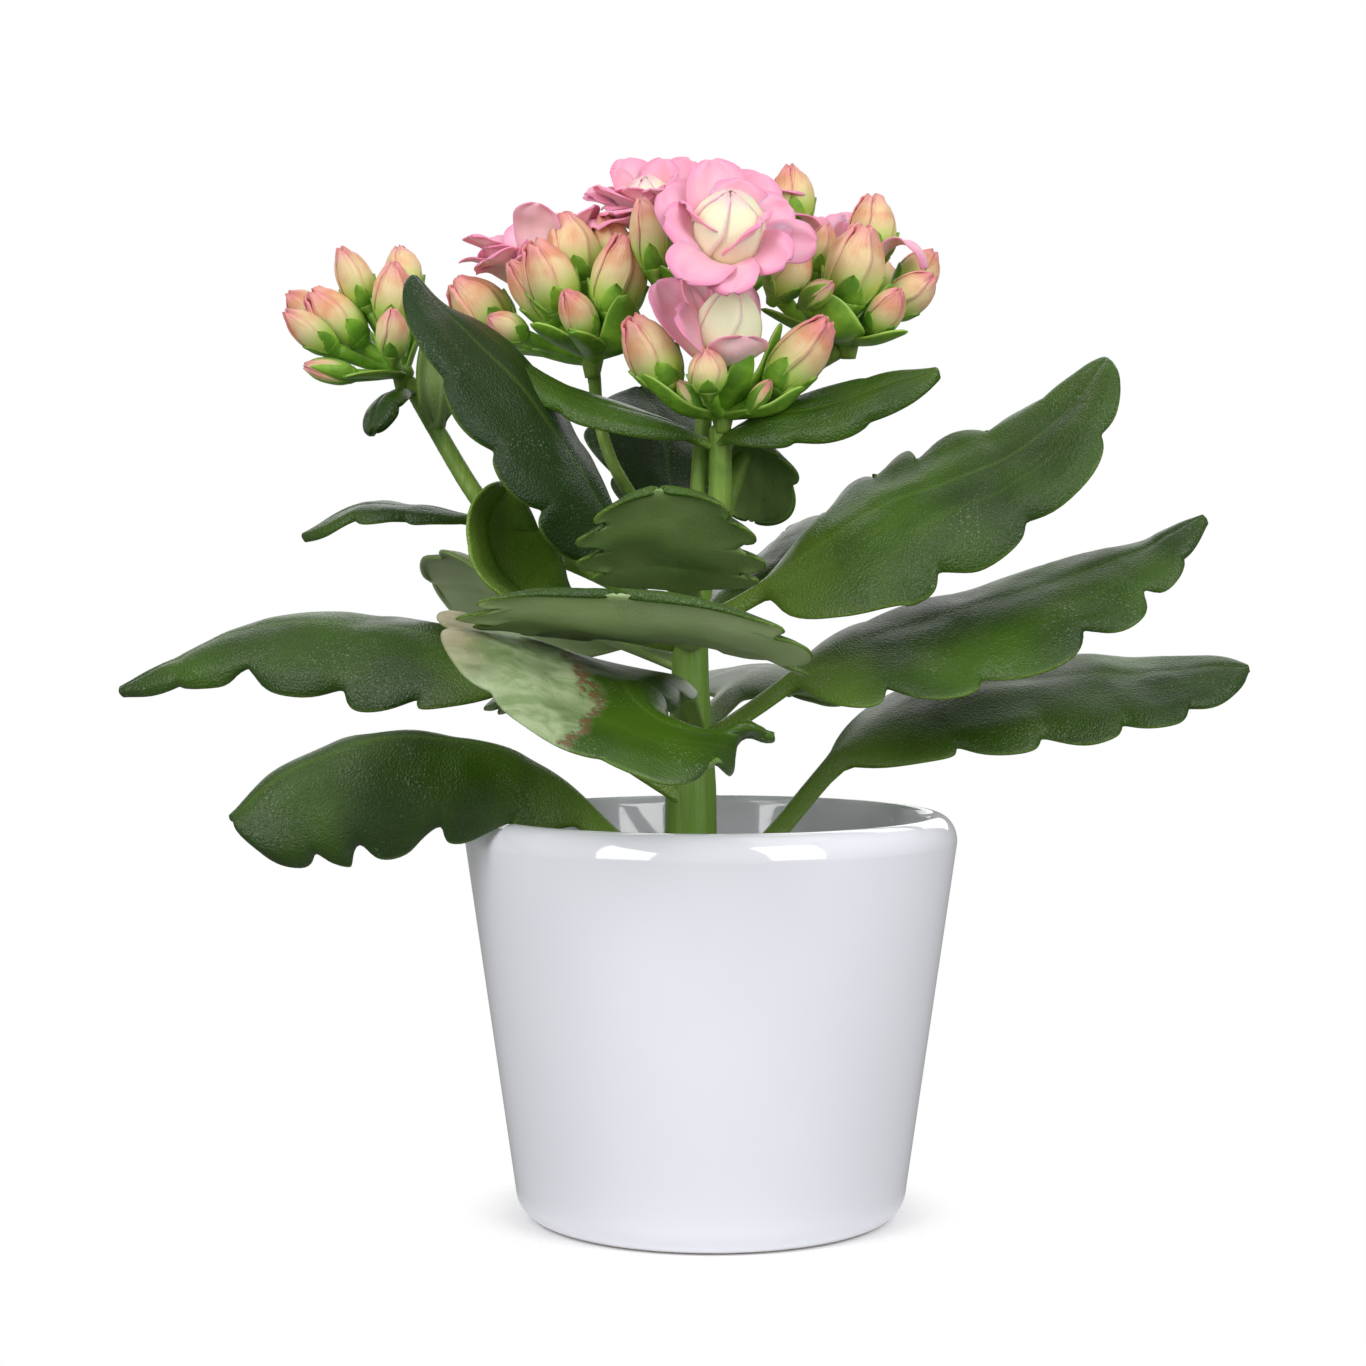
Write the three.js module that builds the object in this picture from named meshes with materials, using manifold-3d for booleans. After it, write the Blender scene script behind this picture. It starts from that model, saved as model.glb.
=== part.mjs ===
// Potted kalanchoe: a small double-flowered plant in its nursery pot, standing in a glazed cover pot.
// Millimetres, +Z up. The origin is the centre of the cover pot's foot, and -Y is the plant's front.

import * as THREE from "three";
import { mergeVertices } from "three/addons/utils/BufferGeometryUtils.js";
import Module from "manifold-3d";

const wasm = await Module();
wasm.setup();

// Gap between neighbouring bodies that touch
const CLEARANCE = 0.3;

// Cover pot: a straight tapered wall under a rounded lip, on a flat foot
const POT_HEIGHT = 64;
const POT_RADIUS = 39;
const LIP_CREST_RADIUS = 35.7;
const LIP_DEPTH = 4.2;
const FOOT_RADIUS = 31.1;
const FOOT_FILLET = 4.5;
const POT_FLOOR = 4.3;
const POT_MOUTH_RADIUS = 34.6;
const POT_WELL_RADIUS = 28;
const POT_WELL_FILLET = 3.4;
const POT_SIDES = 32;

// Nursery pot: thin plastic with a flange at its rim and drain holes in its floor
const NURSERY_RIM_Z = 53.4;
const NURSERY_RIM_RADIUS = 30.4;
const NURSERY_FLANGE = 1.8;
const NURSERY_FLANGE_THICKNESS = 1.4;
const NURSERY_FOOT_RADIUS = 24;
const NURSERY_WALL = 1;
const NURSERY_SIDES = 20;
const DRAIN_HOLES = 4;
const DRAIN_RADIUS = 2.2;
const DRAIN_CIRCLE = 15;

// Potting soil, a little higher at its middle
const SOIL_EDGE_Z = 49.4;
const SOIL_CROWN = 1.6;

// Blades: thickness at a margin, at the middle of a leaf and of a petal, and through a leaf's stalk
const EDGE = 0.7;
const LEAF_THICKNESS = 1.3;
const PETAL_THICKNESS = 0.7;
const STALK_THICKNESS = 2.8;
const TIP_WIDTH = 0.4;
const PETAL_TIP_WIDTH = 2;

// Buds: heights are shares of a bud's length, and the fullest place is where its radius is given
const BUD_SIDES = 8;
const BUD_FULLEST = 0.44;
const BUD_BODY = [0.58, 0.84];
const SEPAL_STANDOFF = 0.35;
const SEPAL_TIP = 0.46;
const SEPAL_GAP = 0.14;
const PEDICEL_RADIUS = 0.9;
const PEDICEL_BEND = 0.12;

// Blooms: roll of each petal, by which one margin lies over its neighbour, distance of the petals'
// roots from the axis, and how deep a bloom sits on its stalk
const PETAL_TWIST = 26;
const PETAL_ROOT_RADIUS = 2.2;
const BLOOM_SEAT = 1;

const DEGREES = Math.PI / 180;
const UP = new THREE.Vector3(0, 0, 1);

const vector = ([x, y, z]) => new THREE.Vector3(x, y, z);
const mix = (a, b, share) => a + (b - a) * share;

// The value at s of a number, or of the parabola through its values at the start, middle and end.
function along(value, s) {
  if (!Array.isArray(value)) return value;
  const [start, middle, end] = value;
  return start * (1 - s) * (1 - 2 * s) + middle * 4 * s * (1 - s) + end * s * (2 * s - 1);
}

// Makes a solid of a closed geometry.
function solidOf(geometry) {
  const bare = new THREE.BufferGeometry();
  bare.setAttribute("position", geometry.getAttribute("position"));
  bare.setIndex(geometry.getIndex());
  const merged = mergeVertices(bare, 1e-4);
  const corners = merged.index.array;
  const triangles = [];
  for (let i = 0; i < corners.length; i += 3) {
    const [a, b, c] = corners.slice(i, i + 3);
    if (a !== b && b !== c && c !== a) triangles.push(a, b, c);
  }
  return new wasm.Manifold(
    new wasm.Mesh({
      numProp: 3,
      vertProperties: merged.attributes.position.array,
      triVerts: new Uint32Array(triangles),
    }),
  );
}

// Makes a solid of points and of triangles that name three of them each.
function solid(points, triangles) {
  const geometry = new THREE.BufferGeometry().setFromPoints(points);
  geometry.setIndex(triangles.flat());
  return solidOf(geometry);
}

// A body of revolution about Z, from its profile of radius and height.
function turned(profile, sides) {
  const outline = profile.map(([radius, z]) => new THREE.Vector2(radius, z));
  return solidOf(new THREE.LatheGeometry(outline, sides).rotateX(Math.PI / 2));
}

// Points of a quarter circle or ellipse between two directions, given in degrees.
function arc([x, z], [radiusX, radiusZ], from, to, steps) {
  return Array.from({ length: steps + 1 }, (_, i) => {
    const angle = mix(from, to, i / steps) * DEGREES;
    return [x + radiusX * Math.cos(angle), z + radiusZ * Math.sin(angle)];
  });
}

// A closed body through rings of points, ended by one point at each end.
function loft(rings, first, last) {
  const count = rings[0].length;
  const end = rings.length * count + 1;
  const at = (ring, k) => 1 + ring * count + (k % count);
  const triangles = [];
  for (let k = 0; k < count; k++) {
    triangles.push([0, at(0, k + 1), at(0, k)]);
    for (let ring = 1; ring < rings.length; ring++) {
      triangles.push([at(ring - 1, k), at(ring - 1, k + 1), at(ring, k + 1)]);
      triangles.push([at(ring - 1, k), at(ring, k + 1), at(ring, k)]);
    }
    triangles.push([end, at(rings.length - 1, k), at(rings.length - 1, k + 1)]);
  }
  return solid([first, ...rings.flat(), last], triangles);
}

const smooth = (points) =>
  new THREE.CatmullRomCurve3(points.map(vector), false, "catmullrom", 0.5);

// Two directions square to an axis, so that the first, the second and the axis are right-handed.
function across(axis) {
  const level = Math.abs(axis.z) < 0.8 ? UP : new THREE.Vector3(0, -1, 0);
  const first = level.clone().addScaledVector(axis, -level.dot(axis)).normalize();
  return [first, new THREE.Vector3().crossVectors(axis, first)];
}

// A round stalk along points, with a radius for each, made larger all over by grow.
function stalk(points, radii, { sides = 6, steps = 6, grow = 0 } = {}) {
  const curve = smooth(points);
  const [first] = across(vector(points.at(-1)).sub(vector(points[0])).normalize());
  const rings = [];
  for (let i = 0; i <= steps; i++) {
    const s = i / steps;
    const place = s * (radii.length - 1);
    const lower = Math.min(Math.floor(place), radii.length - 2);
    const radius = mix(radii[lower], radii[lower + 1], place - lower) + grow;
    const tangent = curve.getTangent(s);
    const reach = i === 0 ? -grow : i === steps ? grow : 0;
    const centre = curve.getPoint(s).addScaledVector(tangent, reach);
    const right = first.clone().addScaledVector(tangent, -first.dot(tangent)).normalize();
    const left = new THREE.Vector3().crossVectors(tangent, right);
    rings.push(
      Array.from({ length: sides }, (_, k) => {
        const angle = (k / sides) * 2 * Math.PI;
        return centre
          .clone()
          .addScaledVector(right, radius * Math.cos(angle))
          .addScaledVector(left, radius * Math.sin(angle));
      }),
    );
  }
  const tip = curve.getPoint(1).addScaledVector(curve.getTangent(1), grow + 0.5);
  const root = curve.getPoint(0).addScaledVector(curve.getTangent(0), -grow - 0.1);
  return loft(rings, root, tip);
}

// Where a scalloped margin's stations lie: each notch, and the full places of the lobe before it.
function lobeStations(notches, fullPlaces) {
  const stops = [0, ...notches, 1];
  const stations = [];
  for (let lobe = 0; lobe + 1 < stops.length; lobe++) {
    stations.push({ t: stops[lobe], notch: lobe > 0 });
    for (const place of fullPlaces) {
      stations.push({ t: mix(stops[lobe], stops[lobe + 1], place), notch: false });
    }
  }
  stations.push({ t: 1, notch: false });
  return stations;
}

// A leaf, bract or petal. It follows its spine, rolls about it (right side down) and lets its left and
// right halves droop by fold. Its margins are cut by notches, given along the blade for each side.
function blade({
  spine,
  width,
  up = UP,
  out = null,
  roll = 0,
  fold = [0, 0],
  petiole = 0,
  petioleWidth = 1.9,
  tipWidth = TIP_WIDTH,
  profile = [0.8, 0.5],
  notches = null,
  depth = 0.2,
  full = [0.4, 0.8],
  steps = 4,
  columns = 4,
  thickness = LEAF_THICKNESS,
  root = STALK_THICKNESS,
  edge = EDGE,
}) {
  const curve = smooth(spine);
  const chord = vector(spine.at(-1)).sub(vector(spine[0]));
  const heading = out ?? chord.addScaledVector(up, -chord.dot(up)).normalize();
  const halves = Array.isArray(width) ? width : [width, width];
  const [rise, fall] = profile;
  const fullest = rise / (rise + fall);
  const peak = fullest ** rise * (1 - fullest) ** fall;

  // Half the width at s on one side.
  function reach(s, side) {
    const t = Math.min(Math.max((s - petiole) / (1 - petiole), 0), 1);
    const leafy = (halves[side] * t ** rise * (1 - t) ** fall) / peak;
    return Math.hypot(mix(petioleWidth, tipWidth, t), leafy);
  }

  // The point of the middle surface at s along and u across, where lobe shrinks the margin.
  function surface(s, u, lobe) {
    const tangent = curve.getTangent(s);
    const upper = up
      .clone()
      .multiplyScalar(tangent.dot(heading))
      .addScaledVector(heading, -tangent.dot(up));
    upper.addScaledVector(tangent, -upper.dot(tangent)).normalize();
    upper.applyAxisAngle(tangent, along(roll, s) * DEGREES);
    const right = new THREE.Vector3().crossVectors(tangent, upper);
    const side = u < 0 ? 0 : 1;
    const distance = Math.abs(u) * reach(s, side) * (1 - u * u * (1 - lobe));
    const droop = along(fold[side], s) * (0.5 + 0.5 * Math.abs(u)) * DEGREES;
    return curve
      .getPoint(s)
      .addScaledVector(right, Math.sign(u) * distance * Math.cos(droop))
      .addScaledVector(upper, -distance * Math.sin(droop));
  }

  const plain = Array.from({ length: steps + 1 }, (_, i) => ({ t: i / steps, notch: false }));
  const margins = [0, 1].map((side) => {
    const stations = notches ? lobeStations(notches[side], full) : plain;
    return stations.map(({ t, notch }) => ({ s: mix(petiole, 1, t), notch }));
  });
  if (petiole > 0) {
    margins.forEach((margin) =>
      margin.unshift({ s: 0, notch: false }, { s: petiole / 2, notch: false }),
    );
  }

  const nudge = 1e-3;
  const rows = margins[0].length;
  const top = [];
  const bottom = [];
  for (let i = 0; i < rows; i++) {
    const lobe = margins[0][i].notch ? 1 - depth : 1;
    for (let j = 0; j <= columns; j++) {
      const u = (2 * j) / columns - 1;
      const s = mix(margins[0][i].s, margins[1][i].s, j / columns);
      const t = Math.max((s - petiole) / (1 - petiole), 0);
      const point = surface(s, u, lobe);
      const ahead = surface(Math.min(s + nudge, 1), u, lobe);
      ahead.sub(surface(Math.max(s - nudge, 0), u, lobe));
      const aside = surface(s, u + nudge, lobe).sub(surface(s, u - nudge, lobe));
      const normal = aside.cross(ahead).normalize();
      const core = mix(thickness, root, (1 - t) ** 3);
      const half = mix(core, edge, Math.abs(u) ** 1.5) / 2;
      top.push(point.clone().addScaledVector(normal, half));
      bottom.push(point.clone().addScaledVector(normal, -half));
    }
  }

  const under = top.length;
  const at = (i, j) => i * (columns + 1) + j;
  const triangles = [];
  const wall = (a, b) => triangles.push([a, b, b + under], [a, b + under, a + under]);
  for (let i = 0; i + 1 < rows; i++) {
    for (let j = 0; j < columns; j++) {
      const [a, b, c, d] = [at(i, j), at(i, j + 1), at(i + 1, j + 1), at(i + 1, j)];
      triangles.push([a, b, c], [a, c, d]);
      triangles.push([a + under, c + under, b + under], [a + under, d + under, c + under]);
    }
    wall(at(i, 0), at(i + 1, 0));
    wall(at(i + 1, columns), at(i, columns));
  }
  for (let j = 0; j < columns; j++) {
    wall(at(0, j + 1), at(0, j));
    wall(at(rows - 1, j), at(rows - 1, j + 1));
  }
  return solid([...top, ...bottom], triangles);
}

const union = (solids) => wasm.Manifold.union(solids);

// The body of a solid that holds most of it, without the loose scraps that a cut left.
function largest(whole) {
  return whole.decompose().reduce((a, b) => (a.volume() > b.volume() ? a : b));
}

// Colour, roughness and metalness of each kind of piece
const finish = (color, roughness) =>
  new THREE.MeshStandardMaterial({ color, roughness, metalness: 0 });
const MATERIALS = {
  glaze: finish(0xf4f6fa, 0.08),
  plastic: finish(0x1b1c1d, 0.5),
  soil: finish(0x2e2119, 0.95),
  stem: finish(0x4f7a2c, 0.45),
  leaf: finish(0x2f5220, 0.35),
  bud: finish(0xd9c894, 0.5),
  petal: finish(0xeb9dbf, 0.55),
};

function coverPot() {
  const foot = arc([FOOT_RADIUS - FOOT_FILLET, FOOT_FILLET], [FOOT_FILLET, FOOT_FILLET], -90, 0, 3);
  const lipZ = POT_HEIGHT - LIP_DEPTH;
  const lip = arc([LIP_CREST_RADIUS, lipZ], [POT_RADIUS - LIP_CREST_RADIUS, LIP_DEPTH], 0, 90, 5);
  const mouthDrop = LIP_CREST_RADIUS - POT_MOUTH_RADIUS;
  const mouth = [
    [LIP_CREST_RADIUS - 0.7 * mouthDrop, POT_HEIGHT - 0.4 * mouthDrop],
    [POT_MOUTH_RADIUS, POT_HEIGHT - 1.6 * mouthDrop],
  ];
  const corner = [POT_WELL_RADIUS - POT_WELL_FILLET, POT_FLOOR + POT_WELL_FILLET];
  const well = arc(corner, [POT_WELL_FILLET, POT_WELL_FILLET], 0, -90, 3);
  return turned([[0, 0], ...foot, ...lip, ...mouth, ...well, [0, POT_FLOOR]], POT_SIDES);
}

function nurseryPot() {
  const floor = POT_FLOOR + CLEARANCE;
  const flangeZ = NURSERY_RIM_Z - NURSERY_FLANGE_THICKNESS;
  const wall = turned(
    [
      [0, floor],
      [NURSERY_FOOT_RADIUS - 1, floor],
      [NURSERY_FOOT_RADIUS, floor + 1],
      [NURSERY_RIM_RADIUS, flangeZ],
      [NURSERY_RIM_RADIUS + NURSERY_FLANGE, flangeZ],
      [NURSERY_RIM_RADIUS + NURSERY_FLANGE, NURSERY_RIM_Z],
      [NURSERY_RIM_RADIUS - NURSERY_WALL, NURSERY_RIM_Z],
      [NURSERY_FOOT_RADIUS - NURSERY_WALL, floor + NURSERY_WALL + 1],
      [NURSERY_FOOT_RADIUS - NURSERY_WALL - 1, floor + NURSERY_WALL],
      [0, floor + NURSERY_WALL],
    ],
    NURSERY_SIDES,
  );
  const holes = Array.from({ length: DRAIN_HOLES }, (_, i) => {
    const angle = ((i + 0.5) / DRAIN_HOLES) * 2 * Math.PI;
    const drill = new THREE.CylinderGeometry(DRAIN_RADIUS, DRAIN_RADIUS, 6, 8).rotateX(Math.PI / 2);
    const [x, y] = [DRAIN_CIRCLE * Math.cos(angle), DRAIN_CIRCLE * Math.sin(angle)];
    return solidOf(drill.translate(x, y, floor));
  });
  return wall.subtract(union(holes));
}

// Soil fills the nursery pot, with a plain hole where the stem stands.
function soil(stemSpace) {
  const bottom = POT_FLOOR + NURSERY_WALL + 2 * CLEARANCE;
  const bottomRadius = NURSERY_FOOT_RADIUS - NURSERY_WALL - 0.6;
  const rise = (SOIL_EDGE_Z - bottom) / (NURSERY_RIM_Z - bottom);
  const topRadius = mix(bottomRadius, NURSERY_RIM_RADIUS - NURSERY_WALL, rise) - 2 * CLEARANCE;
  const body = turned(
    [
      [0, bottom],
      [bottomRadius - 1, bottom],
      [bottomRadius, bottom + 1.2],
      [topRadius, SOIL_EDGE_Z],
      [0.6 * topRadius, SOIL_EDGE_Z + 0.8 * SOIL_CROWN],
      [0, SOIL_EDGE_Z + SOIL_CROWN],
    ],
    NURSERY_SIDES,
  );
  return body.subtract(stemSpace);
}

// Main stem and the flower stalks that grow from it: points along each, and a radius at even steps
const STEM_LIMBS = {
  trunk: {
    points: [[-3, 0.5, 37], [-3.2, 0.2, 52], [-3.2, 0, 68], [-3.3, 0, 84], [-3.2, 0, 98]],
    radii: [4.4, 4.3, 4.1, 3.1, 2.6],
    sides: 10,
    steps: 7,
  },
  front: {
    points: [[-3, -0.2, 95], [-1, -0.8, 103], [1.2, -1.2, 112], [1.5, -2, 125.4]],
    radii: [2.4, 2, 1.9, 1.9],
    steps: 5,
  },
  top: {
    points: [[-3.4, 0.2, 95], [-2.4, 0.6, 104], [-1.9, 1.2, 118], [-0.6, 3, 131], [1.2, 5, 143]],
    radii: [2.2, 1.6, 1.4, 1.4, 1.4],
  },
  centreLeft: {
    points: [[-3.6, 0.8, 95], [-9, 5, 108], [-15.5, 9.5, 119], [-18.2, 12, 127], [-19, 10.5, 135]],
    radii: [1.8, 1.3, 1.1, 1.1, 1.2],
  },
  left: {
    points: [
      [-3.6, 0.4, 93], [-15, 4.5, 100.5], [-28, 8.5, 106.5], [-36.5, 11, 112.5],
      [-45.4, 13, 126.5], [-49.4, 13, 133.6],
    ],
    radii: [1.9, 1.7, 1.6, 1.6, 1.5, 1.4],
    steps: 8,
  },
  right: {
    points: [
      [-2.6, 0.8, 96], [1, 5, 108], [5, 9, 120], [10, 10.5, 129], [15.4, 9.4, 134.6],
      [20.8, 7.3, 138],
    ],
    radii: [1.9, 1.5, 1.4, 1.4, 1.4, 1.4],
  },
};

function stem(grow) {
  const limbs = Object.values(STEM_LIMBS);
  return union(limbs.map(({ points, radii, ...shape }) => stalk(points, radii, { ...shape, grow })));
}

// Leaves: the spine runs from the stem to the tip
const LEAVES = {
  leaf_far_left: {
    spine: [
      [-3.2, -1, 66], [-17.5, -5, 76], [-30, -4, 85.6], [-43, 0, 91.2], [-59, 3, 94],
      [-77.5, 6, 91.8], [-95.6, 8, 82.8],
    ],
    width: [16, 13], roll: [-5, -24, -18], fold: [25, 20], petiole: 0.33, profile: [0.5, 0.8],
    notches: [[0.25, 0.52, 0.72], [0.2, 0.45, 0.7]],
  },
  leaf_low_left: {
    spine: [
      [-3.2, -1, 53.8], [-10, -4.4, 56.4], [-17, -8, 62.6], [-24, -12, 70], [-34, -17, 75.8],
      [-47, -22, 77.6], [-61, -26, 73.4], [-71.5, -28, 65.4],
    ],
    width: [18.5, 14], roll: [-10, -38, -30], fold: [[-22, 28, 34], 60],
    petiole: 0.4, profile: [0.6, 0.42],
    notches: [[0.22, 0.46, 0.74, 0.9], [0.26, 0.5, 0.7, 0.86]],
  },
  leaf_front_low: {
    spine: [
      [-3.2, -2, 78], [-5, -16, 84.4], [-9, -29, 86.6], [-12, -40, 86.4], [-9.5, -49, 83],
      [-1, -53, 80.2], [9, -51, 79.6],
    ],
    width: [7.5, 30], roll: [0, -4, 0], fold: [[20, 30, 40], [-10, -14, 16]],
    petiole: 0.2, profile: [0.42, 0.95],
    notches: [[0.3, 0.5, 0.7, 0.86], [0.3, 0.5, 0.7, 0.86]],
  },
  leaf_front_high: {
    spine: [[-3.2, -2, 91], [-6, -18, 92.4], [-9, -33, 92.8], [-11, -47, 94], [-13, -55, 99.2]],
    width: [28, 26], roll: [0, -6, -7], fold: [2, 2], petiole: 0.2, profile: [1.2, 0.34],
    notches: [[0.42, 0.64, 0.82], [0.42, 0.64, 0.82]],
  },
  leaf_front_fan: {
    spine: [
      [-3.2, -2, 97], [-4, -13, 99.6], [-5.2, -23, 104], [-6.4, -30, 109.6], [-7.6, -35, 114.4],
    ],
    width: [14.5, 15], roll: 0, fold: [6, 6], petiole: 0.3, profile: [0.32, 0.42],
    notches: [[0.34, 0.68], [0.34, 0.68]], depth: 0.24,
  },
  leaf_tall_left: {
    spine: [
      [-4, 0, 99], [-10, -2.4, 103.6], [-16, -6, 109.4], [-21, -10, 118], [-28, -14, 128],
      [-37, -15, 138.4], [-45.8, -13, 147.6],
    ],
    width: [15, 14], roll: [-20, -55, -40], fold: [[-6, -3, 8], 46], petiole: 0.2, profile: [0.5, 0.6],
    notches: [[0.18, 0.38, 0.56, 0.74], [0.18, 0.38, 0.56, 0.74]],
  },
  leaf_cupped_left: {
    spine: [
      [-3.6, 0.8, 90.4], [-14, -2, 92.6], [-25, -5, 95.6], [-33, -5, 102], [-35.6, -5, 109.5],
      [-32.6, -5, 116],
    ],
    width: [10, 10], roll: [-10, -30, -30], fold: [-40, -10], petiole: 0.3, profile: [0.6, 0.5],
    notches: [[0.3, 0.6], [0.3, 0.6]], depth: 0.08, full: [0.6],
  },
  leaf_tall_right: {
    spine: [
      [-2.6, 0.4, 93.4], [7, -4.4, 98.6], [17.5, -8, 106], [26, -10, 111.6], [34, -12, 114.8],
      [48.8, -13, 121.6], [60.6, -13, 135],
    ],
    width: [12.5, 19], roll: [10, 38, 30], fold: [[8, 2, -8], 14], petiole: 0.2, profile: [0.36, 0.5],
    notches: [[0.2, 0.38, 0.56, 0.74, 0.88], [0.2, 0.38, 0.56, 0.74, 0.88]],
  },
  leaf_middle_right: {
    spine: [
      [-3, -1, 74], [7.7, -4, 81.4], [18.6, -6, 89], [34, -7, 94.4], [53, -7, 100],
      [65.5, -6, 105], [77, -5, 111.2],
    ],
    width: [12, 19], roll: [5, 28, 26], fold: [8, 10], petiole: 0.26, profile: [0.45, 1.05],
    notches: [[0.2, 0.38, 0.56, 0.74, 0.88], [0.2, 0.38, 0.56, 0.74, 0.88]],
  },
  leaf_low_right: {
    spine: [
      [-3, 0, 52.5], [5, 1, 56], [11.5, 2, 62], [21, 5, 73], [35.5, 8, 81.8], [55, 10, 85.2],
      [71.5, 11, 86.4], [87.6, 12, 87.6],
    ],
    width: [13, 17], roll: [0, 15, 15], fold: [2, 20], petiole: 0.42, profile: [0.5, 0.6],
    notches: [[0.25, 0.45, 0.65, 0.82], [0.25, 0.45, 0.65, 0.82]],
  },
  leaf_spray_right: {
    spine: [[0.6, -1.6, 122], [5, -5, 124.6], [14, -8, 126.6], [24.5, -11, 129], [34.8, -13, 133]],
    width: 6.5, roll: [0, 40, 30], fold: [10, 10], petiole: 0.12, petioleWidth: 1.4, profile: [0.7, 0.6],
    notches: [[0.4, 0.7], [0.4, 0.7]], root: 1.8, full: [0.6], columns: 2,
  },
  leaf_spray_left: {
    spine: [[0.4, -1.6, 122], [-8, -6, 125.4], [-17, -8, 128.6], [-25, -9, 132], [-32, -9, 136.4]],
    width: 6.5, roll: [0, -30, -20], fold: [12, 12],
    petiole: 0.12, petioleWidth: 1.4, profile: [0.7, 0.6],
    notches: [[0.6], [0.6]], root: 1.8, full: [0.6], columns: 2,
  },
  leaf_spray_back: {
    spine: [[1.4, -1, 121], [3.4, 4.6, 123.4], [6, 10, 122], [7.4, 14, 116.6], [6.6, 17, 110.6]],
    width: 7.5, roll: 0, fold: [20, 20], petiole: 0.15, petioleWidth: 1.4,
    notches: [[0.35, 0.65], [0.35, 0.65]], root: 1.8, full: [0.6], columns: 2,
  },
  leaf_narrow_left: {
    spine: [
      [-33, 10, 110], [-40, 10, 110.8], [-49, 10.6, 112.4], [-58, 12, 112.8], [-67, 13, 108.6],
    ],
    width: 6.5, roll: [0, -8, -14], fold: [8, 8], petiole: 0.2, petioleWidth: 1.4, profile: [0.7, 0.6],
    notches: [[0.35, 0.65], [0.35, 0.65]], root: 1.8, full: [0.6], columns: 2,
  },
  leaf_back_left: {
    spine: [[-3.6, 1, 87], [-14, 8, 91], [-26, 15, 95.4], [-37, 22, 99.4], [-47, 27, 101.4]],
    width: 15, roll: [0, 30, 35], fold: [8, 8], petiole: 0.25,
    notches: [[0.3, 0.55, 0.78], [0.3, 0.55, 0.78]], depth: 0.2, full: [0.6], columns: 2,
  },
  leaf_back_right: {
    spine: [[-2.8, 1, 92], [2, 9, 98], [6.6, 17, 103], [10.6, 25, 107], [13, 32, 109]],
    width: 13, roll: [0, -25, -30], fold: [8, 8], petiole: 0.25,
    notches: [[0.3, 0.55, 0.78], [0.3, 0.55, 0.78]], depth: 0.2, full: [0.6], columns: 2,
  },
  leaf_back_low: {
    spine: [[-2.6, 1.4, 77], [3, 14, 82], [8, 28, 86], [12, 42, 86], [14, 54, 81]],
    width: 17, roll: 0, fold: [12, 12], petiole: 0.25,
    notches: [[0.28, 0.5, 0.7, 0.86], [0.28, 0.5, 0.7, 0.86]], full: [0.6], columns: 2,
  },
  leaf_back_wide: {
    spine: [[-3.6, 1.6, 74], [-11, 14, 79.6], [-19, 28, 84], [-26, 41, 84.6], [-31, 52, 80]],
    width: 16, roll: 0, fold: [14, 14], petiole: 0.25,
    notches: [[0.28, 0.5, 0.7, 0.86], [0.28, 0.5, 0.7, 0.86]], full: [0.6], columns: 2,
  },
  leaf_back_tall: {
    spine: [[-3.4, 1.4, 101], [-5, 10, 109], [-7, 18, 119], [-9, 25, 128], [-12, 30, 134]],
    width: 11, roll: [0, 10, 10], fold: [10, 10], petiole: 0.2,
    notches: [[0.35, 0.65], [0.35, 0.65]], full: [0.6], columns: 2,
  },
  leaf_stalk_upper: {
    spine: [
      [-44.6, 12.6, 125.6], [-43.6, 8.6, 128.4], [-42.8, 6.2, 133], [-42, 5.4, 138.4],
      [-41, 6, 142.6],
    ],
    width: 4.6, roll: 0, fold: [-15, -15], petiole: 0.15, petioleWidth: 1.4, profile: [0.6, 0.5],
    root: 1.8, columns: 2,
  },
  leaf_stalk_lower: {
    spine: [[-47.8, 13, 131], [-51, 9.4, 131.4], [-53.6, 5, 129], [-54.8, 2.5, 125]],
    width: 5, roll: [0, 10, 10], fold: [10, 10], petiole: 0.15, petioleWidth: 1.2,
    notches: [[0.6], [0.6]], root: 1.4, full: [0.6], columns: 2,
  },
};

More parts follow.
